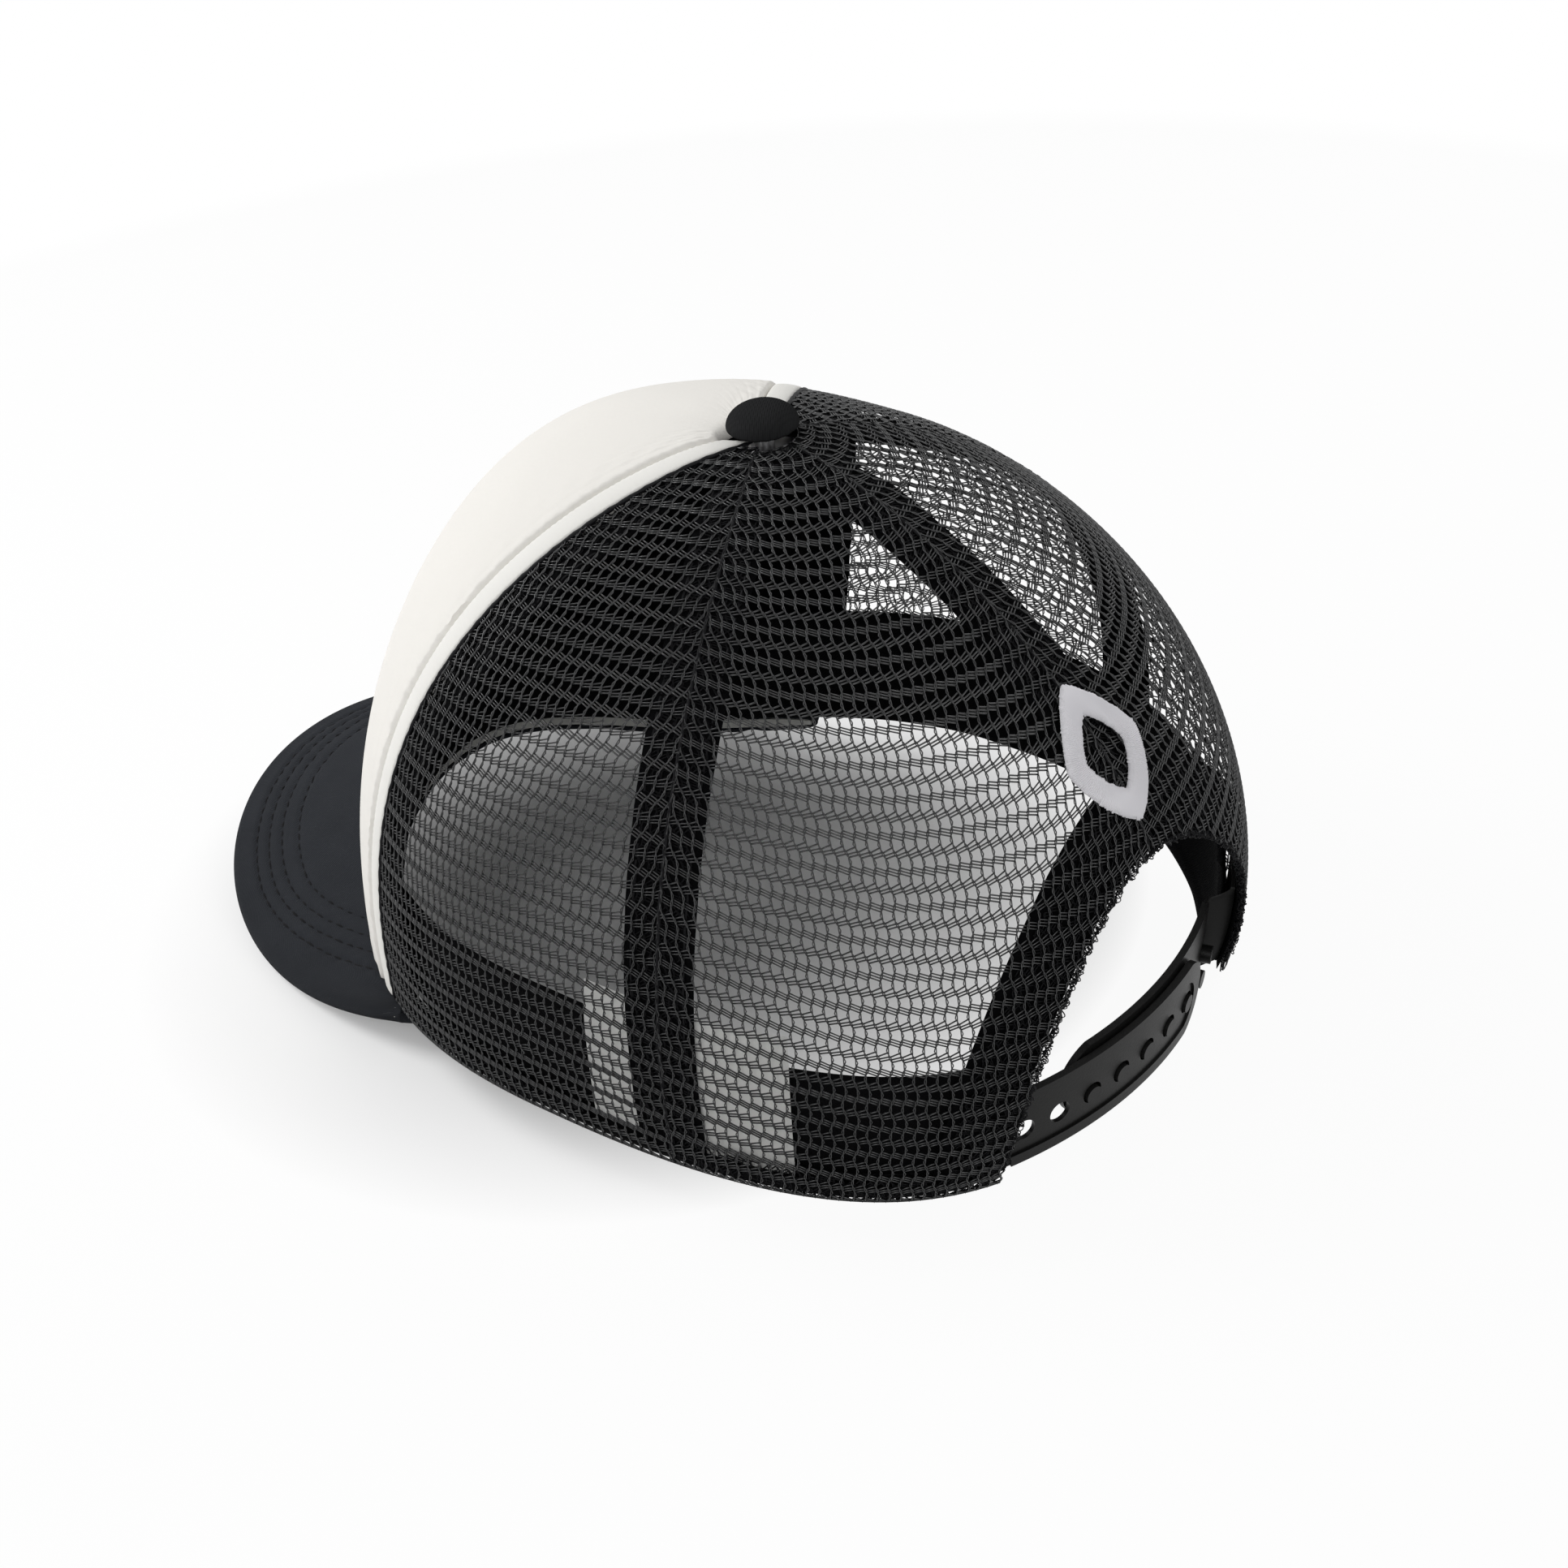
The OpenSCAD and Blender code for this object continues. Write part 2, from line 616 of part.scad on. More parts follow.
// The same band with a rounded far end, centred at angle end
module rounded_band(radius, thick, foot, height, from, end) {
    way = sign(end - from);
    beyond = end + way * 40 * height / radius;
    difference() {
        band(radius, thick, foot, height, min(from, beyond), max(from, beyond));
        on_band(end, radius, foot + height / 2) difference() {
            translate([-height, way > 0 ? -2 * height : 0, -cut_reach])
                cube([2 * height, 2 * height, 2 * cut_reach]);
            cylinder(d = end_round * height, h = 3 * cut_reach, center = true);
        }
    }
}
// Strap from its bend at angle sewn to its rounded end
module strap_body(radius, sewn, end) {
    neck = sewn + sign(end - sewn) * neck_angle;
    overlap = sign(end - sewn) * 0.2;
    rounded_band(radius, strap_thick, 0, strap_height, neck, end);
    band(radius + (strap_thick - neck_thick) / 2, neck_thick, 0, strap_height,
         min(sewn, neck + overlap), max(sewn, neck + overlap));
}
module hole_strap() {
    end = last_hole + end_turn;
    color([0.13, 0.13, 0.14]) difference() {
        strap_body(strap_radius, bend_angle, end);
        rounded_band(strap_radius + strap_thick - recess_depth, strap_thick, border_foot,
                     pocket_height, bend_angle, end);
        for (i = [0:holes - 1])
            on_band(first_hole - i * hole_pitch, strap_radius, hole_level)
                cylinder(d = hole_dia, h = 2 * cut_reach, center = true);
    }
}
peg_length = strap_thick + strap_gap + strap_thick + peg_proud;
module peg_strap() {
    color([0.1, 0.1, 0.11]) {
        translate([0, 0, peg_strap_up])
            strap_body(peg_strap_radius, -bend_angle, first_peg - end_turn);
        for (i = [0:pegs - 1])
            on_band(first_peg - i * hole_pitch, peg_strap_radius, hole_level)
                translate([0, 0, strap_thick / 2])
                    cylinder(d = peg_dia, h = peg_length - strap_thick / 2);
    }
}
// Point on a strap at an angle from the back, up its height and out of its inner face
function strap_point(radius, angle, level, out) =
    let (r = radius + level * sin(strap_lean) + out * cos(strap_lean))
    [r * sin(angle), r * cos(angle),
     strap_foot + level * cos(strap_lean) - out * sin(strap_lean)];
// Sewn end of a strap: from the bend it spreads out to the inside of the net
module strap_tab(radius, up) {
    tab_rows = 3;
    tab_foot = 0.6;
    tab_start = bend_angle + 0.3;
    tab_from = 180 - arch_half - 0.5;
    sewn = steps(tab_from, tab_from - tab_angle, 3);
    levels = steps(0.04 * strap_height, 0.96 * strap_height, tab_rows);
    mid = strap_thick / 2;
    function face(depth, out) = [for (level = levels) concat(
        [strap_point(radius, tab_start, level, out) + [0, 0, up]],
        [for (a = sewn) cloth(a, t_at(a, tab_foot + level), depth)])];
    color([0.13, 0.13, 0.14])
        sheet(face(tab_out - tab_thick, mid - tab_thick / 2), face(tab_out, mid + tab_thick / 2));
}
module left_strap_tab() strap_tab(strap_radius, 0);
module right_strap_tab() on_right() strap_tab(peg_strap_radius, peg_strap_up);

front_panel();
front_lining();
left_piping();
right_piping();
left_side_net();
right_side_net();
left_rear_net();
right_rear_net();
left_front_tape();
right_front_tape();
left_side_tape();
right_side_tape();
back_seam_tape();
arch_tape();
sweatband();
care_label();
back_embroidery();
bill_board();
bill_top_cover();
bill_under_cover();
button_cover();
button_shell();
button_washer();
hole_strap();
peg_strap();
left_strap_tab();
right_strap_tab();
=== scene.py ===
"""Trucker mesh cap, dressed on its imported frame: cloth, foam, net, thread and moulded plastic.

Lengths inside the classes are in millimetres and become metres when a mesh is laid in place.
Angles along the rim are in degrees from the front, growing towards +X.
"""

import logging
import math
from dataclasses import dataclass, field
from enum import Enum
from typing import Callable, Optional, Sequence

import bpy
import numpy as np
from mathutils import Matrix, Vector


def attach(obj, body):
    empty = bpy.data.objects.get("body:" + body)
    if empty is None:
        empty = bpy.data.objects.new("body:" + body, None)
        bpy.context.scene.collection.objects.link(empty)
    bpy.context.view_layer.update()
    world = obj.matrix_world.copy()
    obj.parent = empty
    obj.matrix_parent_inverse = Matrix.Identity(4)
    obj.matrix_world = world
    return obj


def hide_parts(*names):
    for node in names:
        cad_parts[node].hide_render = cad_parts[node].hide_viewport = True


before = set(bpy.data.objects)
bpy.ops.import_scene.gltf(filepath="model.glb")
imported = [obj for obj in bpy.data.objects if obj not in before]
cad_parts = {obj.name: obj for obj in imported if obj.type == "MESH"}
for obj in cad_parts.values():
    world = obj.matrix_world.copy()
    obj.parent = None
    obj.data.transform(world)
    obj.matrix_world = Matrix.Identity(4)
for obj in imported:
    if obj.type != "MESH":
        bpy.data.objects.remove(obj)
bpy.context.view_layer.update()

MM = 0.001
DECIMETRE = 100.0
BACK = 180.0
NEARLY = 0.9
TINY = 1e-9
CROWN_BODY = "crown"
LOG = logging.getLogger("cap")

Piece = bpy.types.Object
Points = np.ndarray
Place = Callable[[Points], Points]


class Side(Enum):
    """Which half of the cap a sewn pair's piece belongs to, seen by the wearer."""

    LEFT = 1
    RIGHT = -1


# ---------------------------------------------------------------- bench tools


class Bench:
    """Modelling steps that every piece uses, made with Blender's own operators."""

    MERGED = 0.01
    HOLE_SIDES = 12

    @staticmethod
    def clear() -> None:
        """Leave edit mode and deselect everything."""
        if bpy.context.object is not None and bpy.context.object.mode != "OBJECT":
            bpy.ops.object.mode_set(mode="OBJECT")
        bpy.ops.object.select_all(action="DESELECT")

    @staticmethod
    def pick(piece: Piece) -> None:
        """Select one piece alone and make it active.

        Args:
            piece: the piece.
        """
        Bench.clear()
        piece.select_set(True)
        bpy.context.view_layer.objects.active = piece

    @staticmethod
    def named(name: str) -> Piece:
        """Name the active piece and its mesh.

        Args:
            name: its new name.

        Returns:
            The piece.
        """
        piece = bpy.context.object
        piece.name = name
        piece.data.name = name
        return piece

    @staticmethod
    def sheet(name: str, columns: int, rows: int) -> Piece:
        """Add a flat closed sheet from -0.5 to 0.5 each way, and from 0 down to -1.

        Args:
            name: name of the new piece.
            columns: faces along X.
            rows: faces along Y.

        Returns:
            The new piece.
        """
        Bench.clear()
        bpy.ops.mesh.primitive_grid_add(x_subdivisions=columns, y_subdivisions=rows, size=1.0)
        piece = Bench.named(name)
        wall = piece.modifiers.new("wall", "SOLIDIFY")
        wall.thickness, wall.offset = 1.0, -1.0
        bpy.ops.object.modifier_apply(modifier=wall.name)
        return piece

    @staticmethod
    def rod(radius: float, start: Sequence[float], end: Sequence[float], sides: int,
            cuts: int = 0) -> Piece:
        """Add a thin closed rod between two points, in millimetres.

        Args:
            radius: its radius.
            start: centre of its first end.
            end: centre of its last end.
            sides: faces round it.
            cuts: rings added between its ends.

        Returns:
            The new piece, in metres.
        """
        Bench.clear()
        first, last = Vector(start) * MM, Vector(end) * MM
        along = last - first
        turn = along.to_track_quat("Z", "Y").to_euler()
        bpy.ops.mesh.primitive_cylinder_add(vertices=sides, radius=radius * MM, depth=along.length,
                                            end_fill_type="NGON", location=(first + last) / 2,
                                            rotation=turn)
        piece = bpy.context.object
        if cuts:
            Bench.edit(piece, Bench.edges_along(piece, along.length * NEARLY), "EDGE")
            bpy.ops.mesh.subdivide(number_cuts=cuts)
            bpy.ops.object.mode_set(mode="OBJECT")
        Bench.bake_place(piece)
        return piece

    @staticmethod
    def open_rod(radius: float, start: Sequence[float], end: Sequence[float], sides: int,
                 cuts: int) -> Piece:
        """Add a thin rod whose two ends are open, to be joined to the next ones.

        Args:
            radius: its radius.
            start: centre of its first end.
            end: centre of its last end.
            sides: faces round it.
            cuts: rings added between its ends.

        Returns:
            The new piece, in metres.
        """
        piece = Bench.rod(radius, start, end, sides, cuts)
        ahead = (Vector(end) - Vector(start)).normalized()
        caps = [face.index for face in piece.data.polygons if abs(face.normal.dot(ahead)) > NEARLY]
        Bench.edit(piece, caps, "FACE")
        bpy.ops.mesh.delete(type="ONLY_FACE")
        bpy.ops.object.mode_set(mode="OBJECT")
        return piece

    @staticmethod
    def trim(piece: Piece, gone: Points) -> None:
        """Cut away the chosen vertices and close the ends that this leaves.

        Args:
            piece: what is cut.
            gone: true for each vertex that goes.
        """
        Bench.edit(piece, np.flatnonzero(gone), "VERT")
        bpy.ops.mesh.delete(type="VERT")
        bpy.ops.mesh.select_all(action="SELECT")
        bpy.ops.mesh.delete_loose()
        bpy.ops.mesh.select_all(action="SELECT")
        bpy.ops.mesh.fill_holes(sides=Bench.HOLE_SIDES)
        bpy.ops.mesh.select_all(action="SELECT")
        bpy.ops.mesh.normals_make_consistent(inside=False)
        bpy.ops.object.mode_set(mode="OBJECT")

    @staticmethod
    def edges_along(piece: Piece, length: float) -> list[int]:
        """Give the indices of the edges at least as long as length."""
        ends = [[piece.data.vertices[i].co for i in edge.vertices] for edge in piece.data.edges]
        return [i for i, (first, last) in enumerate(ends) if (last - first).length >= length]

    @staticmethod
    def edit(piece: Piece, chosen: Sequence[int], kind: str) -> None:
        """Enter edit mode with only the chosen elements selected.

        Args:
            piece: the piece to edit.
            chosen: indices of its vertices, edges or faces.
            kind: VERT, EDGE or FACE.
        """
        Bench.pick(piece)
        bpy.ops.object.mode_set(mode="EDIT")
        bpy.ops.mesh.select_mode(type=kind)
        bpy.ops.mesh.select_all(action="DESELECT")
        bpy.ops.object.mode_set(mode="OBJECT")
        elements = {"VERT": piece.data.vertices, "EDGE": piece.data.edges,
                    "FACE": piece.data.polygons}[kind]
        flags = np.zeros(len(elements), dtype=bool)
        flags[np.asarray(chosen, dtype=int)] = True
        elements.foreach_set("select", flags)
        bpy.ops.object.mode_set(mode="EDIT")

    @staticmethod
    def bake_place(piece: Piece) -> None:
        """Put a piece's place into its mesh, so that its object sits at the origin."""
        Bench.pick(piece)
        bpy.ops.object.transform_apply(location=True, rotation=True, scale=True)

    @staticmethod
    def join(name: str, pieces: Sequence[Piece]) -> Piece:
        """Join pieces into one.

        Args:
            name: name of the joined piece.
            pieces: what is joined; the first one takes in the others.

        Returns:
            The joined piece.
        """
        Bench.clear()
        for piece in pieces:
            piece.select_set(True)
        bpy.context.view_layer.objects.active = pieces[0]
        bpy.ops.object.join()
        return Bench.named(name)

    @staticmethod
    def repeat(piece: Piece, count: int, step: Sequence[float], merge: bool = False) -> None:
        """Copy a piece in a straight row.

        Args:
            piece: what repeats.
            count: how many there are in all.
            step: offset from one to the next, in millimetres.
            merge: join the touching ends.
        """
        Bench.pick(piece)
        modifier = piece.modifiers.new("row", "ARRAY")
        modifier.count = count
        modifier.use_relative_offset = False
        modifier.use_constant_offset = True
        modifier.constant_offset_displace = Vector(step) * MM
        modifier.use_merge_vertices = merge
        modifier.merge_threshold = Bench.MERGED * MM
        bpy.ops.object.modifier_apply(modifier=modifier.name)

    @staticmethod
    def points(piece: Piece) -> Points:
        """Give a piece's vertices, in the units that its mesh has.

        Args:
            piece: the piece.

        Returns:
            One row of x, y and z per vertex.
        """
        found = np.empty(len(piece.data.vertices) * 3)
        piece.data.vertices.foreach_get("co", found)
        return found.reshape(-1, 3)

    @staticmethod
    def put(piece: Piece, points: Points) -> None:
        """Move a piece's vertices to points in millimetres."""
        piece.data.vertices.foreach_set("co", (points * MM).ravel())
        piece.data.update()

    @staticmethod
    def lay(piece: Piece, place: Place, scale: float = 1.0,
            sizes: Optional[Sequence[float]] = None) -> None:
        """Move every vertex of a flat piece to its place on the cap.

        Args:
            piece: flat piece to lay.
            place: turns flat points into points in millimetres.
            scale: flat units to the units that place reads.
            sizes: real width and length of the flat piece, for its weave's UV map.
        """
        flat = Bench.points(piece) * scale
        if sizes is not None:
            Bench.weave(piece, flat[:, :2] * np.array(sizes))
        Bench.put(piece, place(flat))

    @staticmethod
    def weave(piece: Piece, cloth: Points) -> None:
        """Write a UV map in decimetres, so that a weave keeps its real size.

        Args:
            piece: the piece that gets the map.
            cloth: each vertex's place on its flat cloth, in millimetres.
        """
        mesh = piece.data
        layer = mesh.uv_layers.active or mesh.uv_layers.new(name="weave")
        corner = np.empty(len(mesh.loops), dtype=np.int32)
        mesh.loops.foreach_get("vertex_index", corner)
        layer.data.foreach_set("uv", (cloth[corner] / DECIMETRE).astype(np.float32).ravel())

    @staticmethod
    def smooth(piece: Piece, angle: float) -> None:
        """Shade a piece smooth up to an angle."""
        Bench.pick(piece)
        bpy.ops.object.shade_smooth_by_angle(angle=math.radians(angle))

    @staticmethod
    def mirror_x(piece: Piece) -> None:
        """Turn a left piece into the right one, with its faces still outwards.

        Args:
            piece: the left piece, which becomes the right one.
        """
        Bench.put(piece, Bench.points(piece) / MM * (-1, 1, 1))
        Bench.edit(piece, range(len(piece.data.polygons)), "FACE")
        bpy.ops.mesh.flip_normals()
        bpy.ops.object.mode_set(mode="OBJECT")


# ---------------------------------------------------------------- curves that shape the cloth


def share_of(value: Points, low: float, high: Points | float) -> Points:
    """Give how far a value has come from low to high, from 0 to 1."""
    return np.clip((value - low) / (high - low), 0, 1)


def eased(share: Points) -> Points:
    """Let a share from 0 to 1 start and end softly."""
    return share * share * (3 - 2 * share)


def bell(value: Points, width: float, middle: float = 0.0) -> Points:
    """Give 1 at the middle, fading to 0 on both sides over a width."""
    return np.exp(-((value - middle) / width) ** 2)


def run_lengths(points: Points) -> Points:
    """Give the length of a line from its first point to each of its points."""
    steps = np.linalg.norm(np.diff(points, axis=0), axis=1)
    return np.concatenate([[0], np.cumsum(steps)])


def unit(vectors: Points) -> Points:
    """Give vectors a length of one."""
    return vectors / np.maximum(np.linalg.norm(vectors, axis=-1, keepdims=True), TINY)


def sway(points: Points, size: float, seed: int) -> Points:
    """Smooth uneven offset of sewn cloth, from 1 to -1.

    Args:
        points: flat points in millimetres.
        size: length of its waves in millimetres.
        seed: picks one pattern.

    Returns:
        One value per point.
    """
    waves, shortest, longest = 5, 0.7, 1.6
    rng = np.random.default_rng(seed)
    total = np.zeros(len(points))
    for _ in range(waves):
        direction = unit(rng.normal(size=2))
        turn = 2 * math.pi / (size * rng.uniform(shortest, longest))
        total += np.sin(points[:, :2] @ direction * turn + rng.uniform(0, 2 * math.pi))
    return total / waves


# ---------------------------------------------------------------- form of the crown


@dataclass(frozen=True)
class CrownForm:
    """The smooth outer face of the net, which every layer of the crown follows.

    Shares t run from 0 at the rim to 1 at the top. Shoulder, fullness and belly each hold a value
    for the front, the sides and the back: how square the crown is in plan as it rises, how square
    in height, and how far it swells halfway up. The rises of the rim add up.
    """

    half_width: float = 82.0
    front_reach: float = 100.5
    back_reach: float = 94.5
    height: float = 128.0
    setback: float = 8.5
    top_hole: float = 6.0
    dish: float = 3.0
    dish_radius: float = 18.0
    shoulder: tuple[float, float, float] = (3.0, 1.85, 1.7)
    fullness: tuple[float, float, float] = (2.05, 2.2, 1.7)
    belly: tuple[float, float, float] = (-0.05, 0.13, 0.2)
    back_roundness: float = 0.72
    rim_lift: float = 12.0
    bill_rise: float = 13.0
    bill_rise_angle: float = 45.0
    side_rise: float = 6.5
    side_rise_end: float = 150.0
    front_seam: float = 56.0
    side_seam: float = 104.5
    lean: float = 10.0
    arch_half: float = 29.5
    arch_height: float = 58.0
    tape_turn: float = 20.0
    step: float = 0.004

    @staticmethod
    def around(a: Points, values: Sequence[float]) -> Points:
        """Blend three values round the crown.

        Args:
            a: angles.
            values: values at the front, the sides and the back.

        Returns:
            One value per angle.
        """
        c = np.cos(np.radians(a))
        front, back = np.maximum(c, 0) ** 1.5, np.maximum(-c, 0) ** 1.5
        return values[0] * front + values[1] * (1 - front - back) + values[2] * back

    @staticmethod
    def from_front(a: Points) -> Points:
        """Give each angle's size, measured from the front on its own side."""
        return np.where(a > BACK, 2 * BACK - a, np.abs(a))

    def rim_curve(self, q: Points) -> Points:
        """Height of the rim's curve at an angle from the front.

        Args:
            q: angles from the front.

        Returns:
            The heights in millimetres.
        """
        share = share_of(q, self.bill_rise_angle, self.side_rise_end)
        return (self.rim_lift * (1 + np.cos(np.radians(q))) / 2
                + self.bill_rise * np.maximum(0, 1 - (q / self.bill_rise_angle) ** 2) ** 2
                + self.side_rise * np.sin(math.pi * share) ** 2)

    def rim(self, a: Points) -> Points:
        """Height of the rim above the ground."""
        corner = self.rim_curve(np.array(BACK - self.arch_half))
        return self.rim_curve(self.from_front(np.asarray(a, dtype=float))) - corner

    def face(self, a: Points, t: Points) -> Points:
        """Points on the outer face.

        Args:
            a: angles.
            t: shares from rim to top.

        Returns:
            The points.
        """
        a, t = np.broadcast_arrays(np.asarray(a, dtype=float), np.clip(t, 0, 1))
        s, c = np.sin(np.radians(a)), np.cos(np.radians(a))
        up = np.radians(90 * t)
        rho = (np.cos(up) ** (2 / self.around(a, self.shoulder))
               * (1 + self.around(a, self.belly) * np.sin(2 * up)))
        zeta = np.sin(up) ** (2 / self.around(a, self.fullness))
        reach = np.where(c > 0, self.front_reach, self.back_reach)
        power = np.where(c > 0, 1, 1 + (self.back_roundness - 1) * (1 - zeta))
        dish = self.around(a, (self.dish, self.dish / 3, 0))
        return np.stack([
            rho * self.half_width * s,
            self.setback * zeta - rho * reach * np.sign(c) * np.abs(c) ** power,
            self.rim(a) * (1 - zeta) + self.height * zeta
            - dish * np.maximum(0, 1 - rho * self.half_width / self.dish_radius) ** 2], axis=-1)

    def normal(self, a: Points, t: Points) -> Points:
        """Outward normals of the outer face.

        Args:
            a: angles.
            t: shares from rim to top.

        Returns:
            The normals.
        """
        across = self.face(a + 0.5, t) - self.face(a - 0.5, t)
        up = self.face(a, np.minimum(1, t + self.step)) - self.face(a, np.maximum(0, t - self.step))
        return unit(np.cross(across, up))

    def leaned(self, a: Points, t: Points) -> Points:
        """Turn angles with the leaning seams.

        Args:
            a: angles at the rim.
            t: shares from rim to top.

        Returns:
            The angles at those shares.
        """
        a = np.asarray(a, dtype=float)
        hand = np.where((a < 0) | (a > BACK), -1, 1)
        turn = np.interp(self.from_front(a), [0, self.front_seam, self.side_seam, BACK],
                         [0, self.lean, self.lean, 0])
        return a + hand * turn * t

    def place(self, a: Points, t: Points, depth: Points = 0.0) -> Points:
        """Points on a layer of the crown.

        Args:
            a: angles at the rim.
            t: shares from rim to top.
            depth: how far out of the net's outer face, in millimetres.

        Returns:
            The points.
        """
        b = self.leaned(a, t)
        depth = np.broadcast_to(np.asarray(depth, dtype=float), np.broadcast(b, t).shape)
        return self.face(b, t) + depth[..., None] * self.normal(b, t)

    def mm_per_degree(self, a: Points, t: Points) -> Points:
        """Length of one degree at a place."""
        return np.linalg.norm(self.place(a + 0.5, t) - self.place(a - 0.5, t), axis=-1)

    def beside(self, a: Points, t: Points, mm: Points) -> Points:
        """Angle that lies mm beside angle a."""
        turn = mm / np.maximum(self.mm_per_degree(a, t), TINY)
        return a + np.clip(turn, -self.tape_turn, self.tape_turn)

    def at_radius(self, a: Points, radius: Points) -> Points:
        """Share t at a distance out from the top's middle, measured at the sides."""
        power = self.around(np.asarray(a, dtype=float), self.shoulder) / 2
        return np.degrees(np.arccos((radius / self.half_width) ** power)) / 90

    def top(self, a: Points) -> Points:
        """Share t at which the cloth ends round the button's shank."""
        return self.at_radius(a, self.top_hole)

    def at_height(self, a: Points, height: Points) -> Points:
        """Find the share t at a height above the rim.

        Args:
            a: angles.
            height: heights in millimetres.

        Returns:
            The shares.
        """
        a = np.asarray(a, dtype=float)
        share = share_of(height, 0, self.height - self.rim(a))
        return np.degrees(np.arcsin(share ** (self.around(a, self.fullness) / 2))) / 90

    def above_arch(self, extra: float) -> float:
        """Share t on the back's middle line, a length above the rear opening."""
        return float(self.at_height(BACK, self.arch_height - self.rim(BACK) + extra))

    @property
    def arch_t(self) -> float:
        """Share t at the top of the rear opening."""
        return self.above_arch(0.0)

    def corner_turn(self, mm: float) -> float:
        """Degrees that a length takes at the rear opening's corner."""
        return mm / float(self.mm_per_degree(np.array(BACK - self.arch_half), 0.0))

    def arch_edge(self, a: Points) -> Points:
        """Share t of the rear opening's edge, 0 beside it."""
        share = (BACK - self.from_front(np.asarray(a, dtype=float))) / self.arch_half
        return self.arch_t * np.sqrt(np.maximum(0, 1 - share ** 2))


FORM = CrownForm()


class FlatCut:
    """A flat pattern laid on the crown: u runs across it, and v runs up its middle line."""

    LEVELS = 150
    STEPS = 120
    SPARE_TURN = 14
    HAIR = 0.001

    def __init__(self, middle: float, first: float, last: float) -> None:
        """Measure the crown between two angles.

        Args:
            middle: angle of the pattern's middle line.
            first: angle of its first edge.
            last: angle of its last edge.
        """
        self.ts = np.linspace(0, float(FORM.top(middle)), self.LEVELS)
        self.angles = np.linspace(first - self.SPARE_TURN, last + self.SPARE_TURN, self.STEPS)
        self.up = run_lengths(FORM.place(np.full(self.LEVELS, middle), self.ts))
        rows = FORM.place(self.angles[None, :], self.ts[:, None])
        self.across = np.array([run_lengths(row) for row in rows])
        for row in self.across:
            row -= np.interp(middle, self.angles, row)

    @property
    def length(self) -> float:
        """Length of the middle line."""
        return float(self.up[-1])

    def find(self, u: Points, v: Points) -> tuple[Points, Points]:
        """Find flat points on the crown.

        Args:
            u: their places across the pattern.
            v: their places up its middle line.

        Returns:
            Their angles and shares t.
        """
        level = np.interp(v, self.up, np.arange(float(self.LEVELS)))
        level = np.clip(level, 0, self.LEVELS - 1 - self.HAIR)
        low = level.astype(int)
        a = np.zeros(len(u))
        for i in np.unique(low):
            here = low == i
            first = np.interp(u[here], self.across[i], self.angles)
            second = np.interp(u[here], self.across[i + 1], self.angles)
            a[here] = first + (level[here] - i) * (second - first)
        return a, np.interp(v, self.up, self.ts)


class Track:
    """A line on the cap that carries thread, rolls and ridges.

    Flat points read x along the line, y across it to the left, and z out of the cloth.
    """

    def __init__(self, points: Points, normals: Points) -> None:
        """Measure the line.

        Args:
            points: places along it in millimetres.
            normals: outward normals at those places.
        """
        self.points = points
        self.normals = unit(normals)
        self.along = run_lengths(points)
        self.sides = unit(np.cross(self.normals, np.gradient(points, axis=0)))

    @property
    def length(self) -> float:
        """Length of the line."""
        return float(self.along[-1])

    def read(self, values: Points, x: Points) -> Points:
        """Interpolate vectors along the line."""
        return np.stack([np.interp(x, self.along, values[:, i]) for i in range(3)], axis=-1)

    def place(self, flat: Points) -> Points:
        """Put flat points beside the line.

        Args:
            flat: points beside a straight line.

        Returns:
            The points on the cap.
        """
        x = flat[:, 0]
        return (self.read(self.points, x) + flat[:, 1:2] * self.read(self.sides, x)
                + flat[:, 2:3] * self.read(self.normals, x))

    @staticmethod
    def on_crown(a: Points, t: Points, depth: float) -> "Track":
        """Make a line on the crown from angles and shares."""
        return Track(FORM.place(a, t, depth), FORM.normal(FORM.leaned(a, t), t))

    @staticmethod
    def seam(angle: float, mm: float, depth: float, low: float = 0.0) -> "Track":
        """Make a line beside a seam, up to the top.

        Args:
            angle: the seam's angle at the rim.
            mm: how far beside the seam.
            depth: how far out of the net's outer face.
            low: share of the seam's height at which the line starts.

        Returns:
            The line.
        """
        steps = 200
        t = float(FORM.top(angle)) * np.linspace(low, 1.0, steps)
        return Track.on_crown(FORM.beside(np.full(steps, angle), t, mm), t, depth)

    @staticmethod
    def level(end: float, height: float, depth: float) -> "Track":
        """Make a line round the front at one height above the rim.

        Args:
            end: angle of both its ends, left and right.
            height: its height.
            depth: how far out of the net's outer face.

        Returns:
            The line.
        """
        a = np.linspace(-end, end, 400)
        return Track.on_crown(a, FORM.at_height(a, height), depth)


# ---------------------------------------------------------------- finishes


class Weave(Enum):
    """Surface textures of the cap's materials."""

    PLAIN = "plain"
    TWILL = "twill"
    KNIT = "knit"
    SATIN = "satin"
    FELT = "felt"
    MOULDED = "moulded"


SLANT_AND_CROSSING = {Weave.PLAIN: (0.0, 1.0), Weave.TWILL: (0.9, 0.35), Weave.KNIT: (-0.8, 0.7),
                      Weave.SATIN: (0.05, 0.1)}


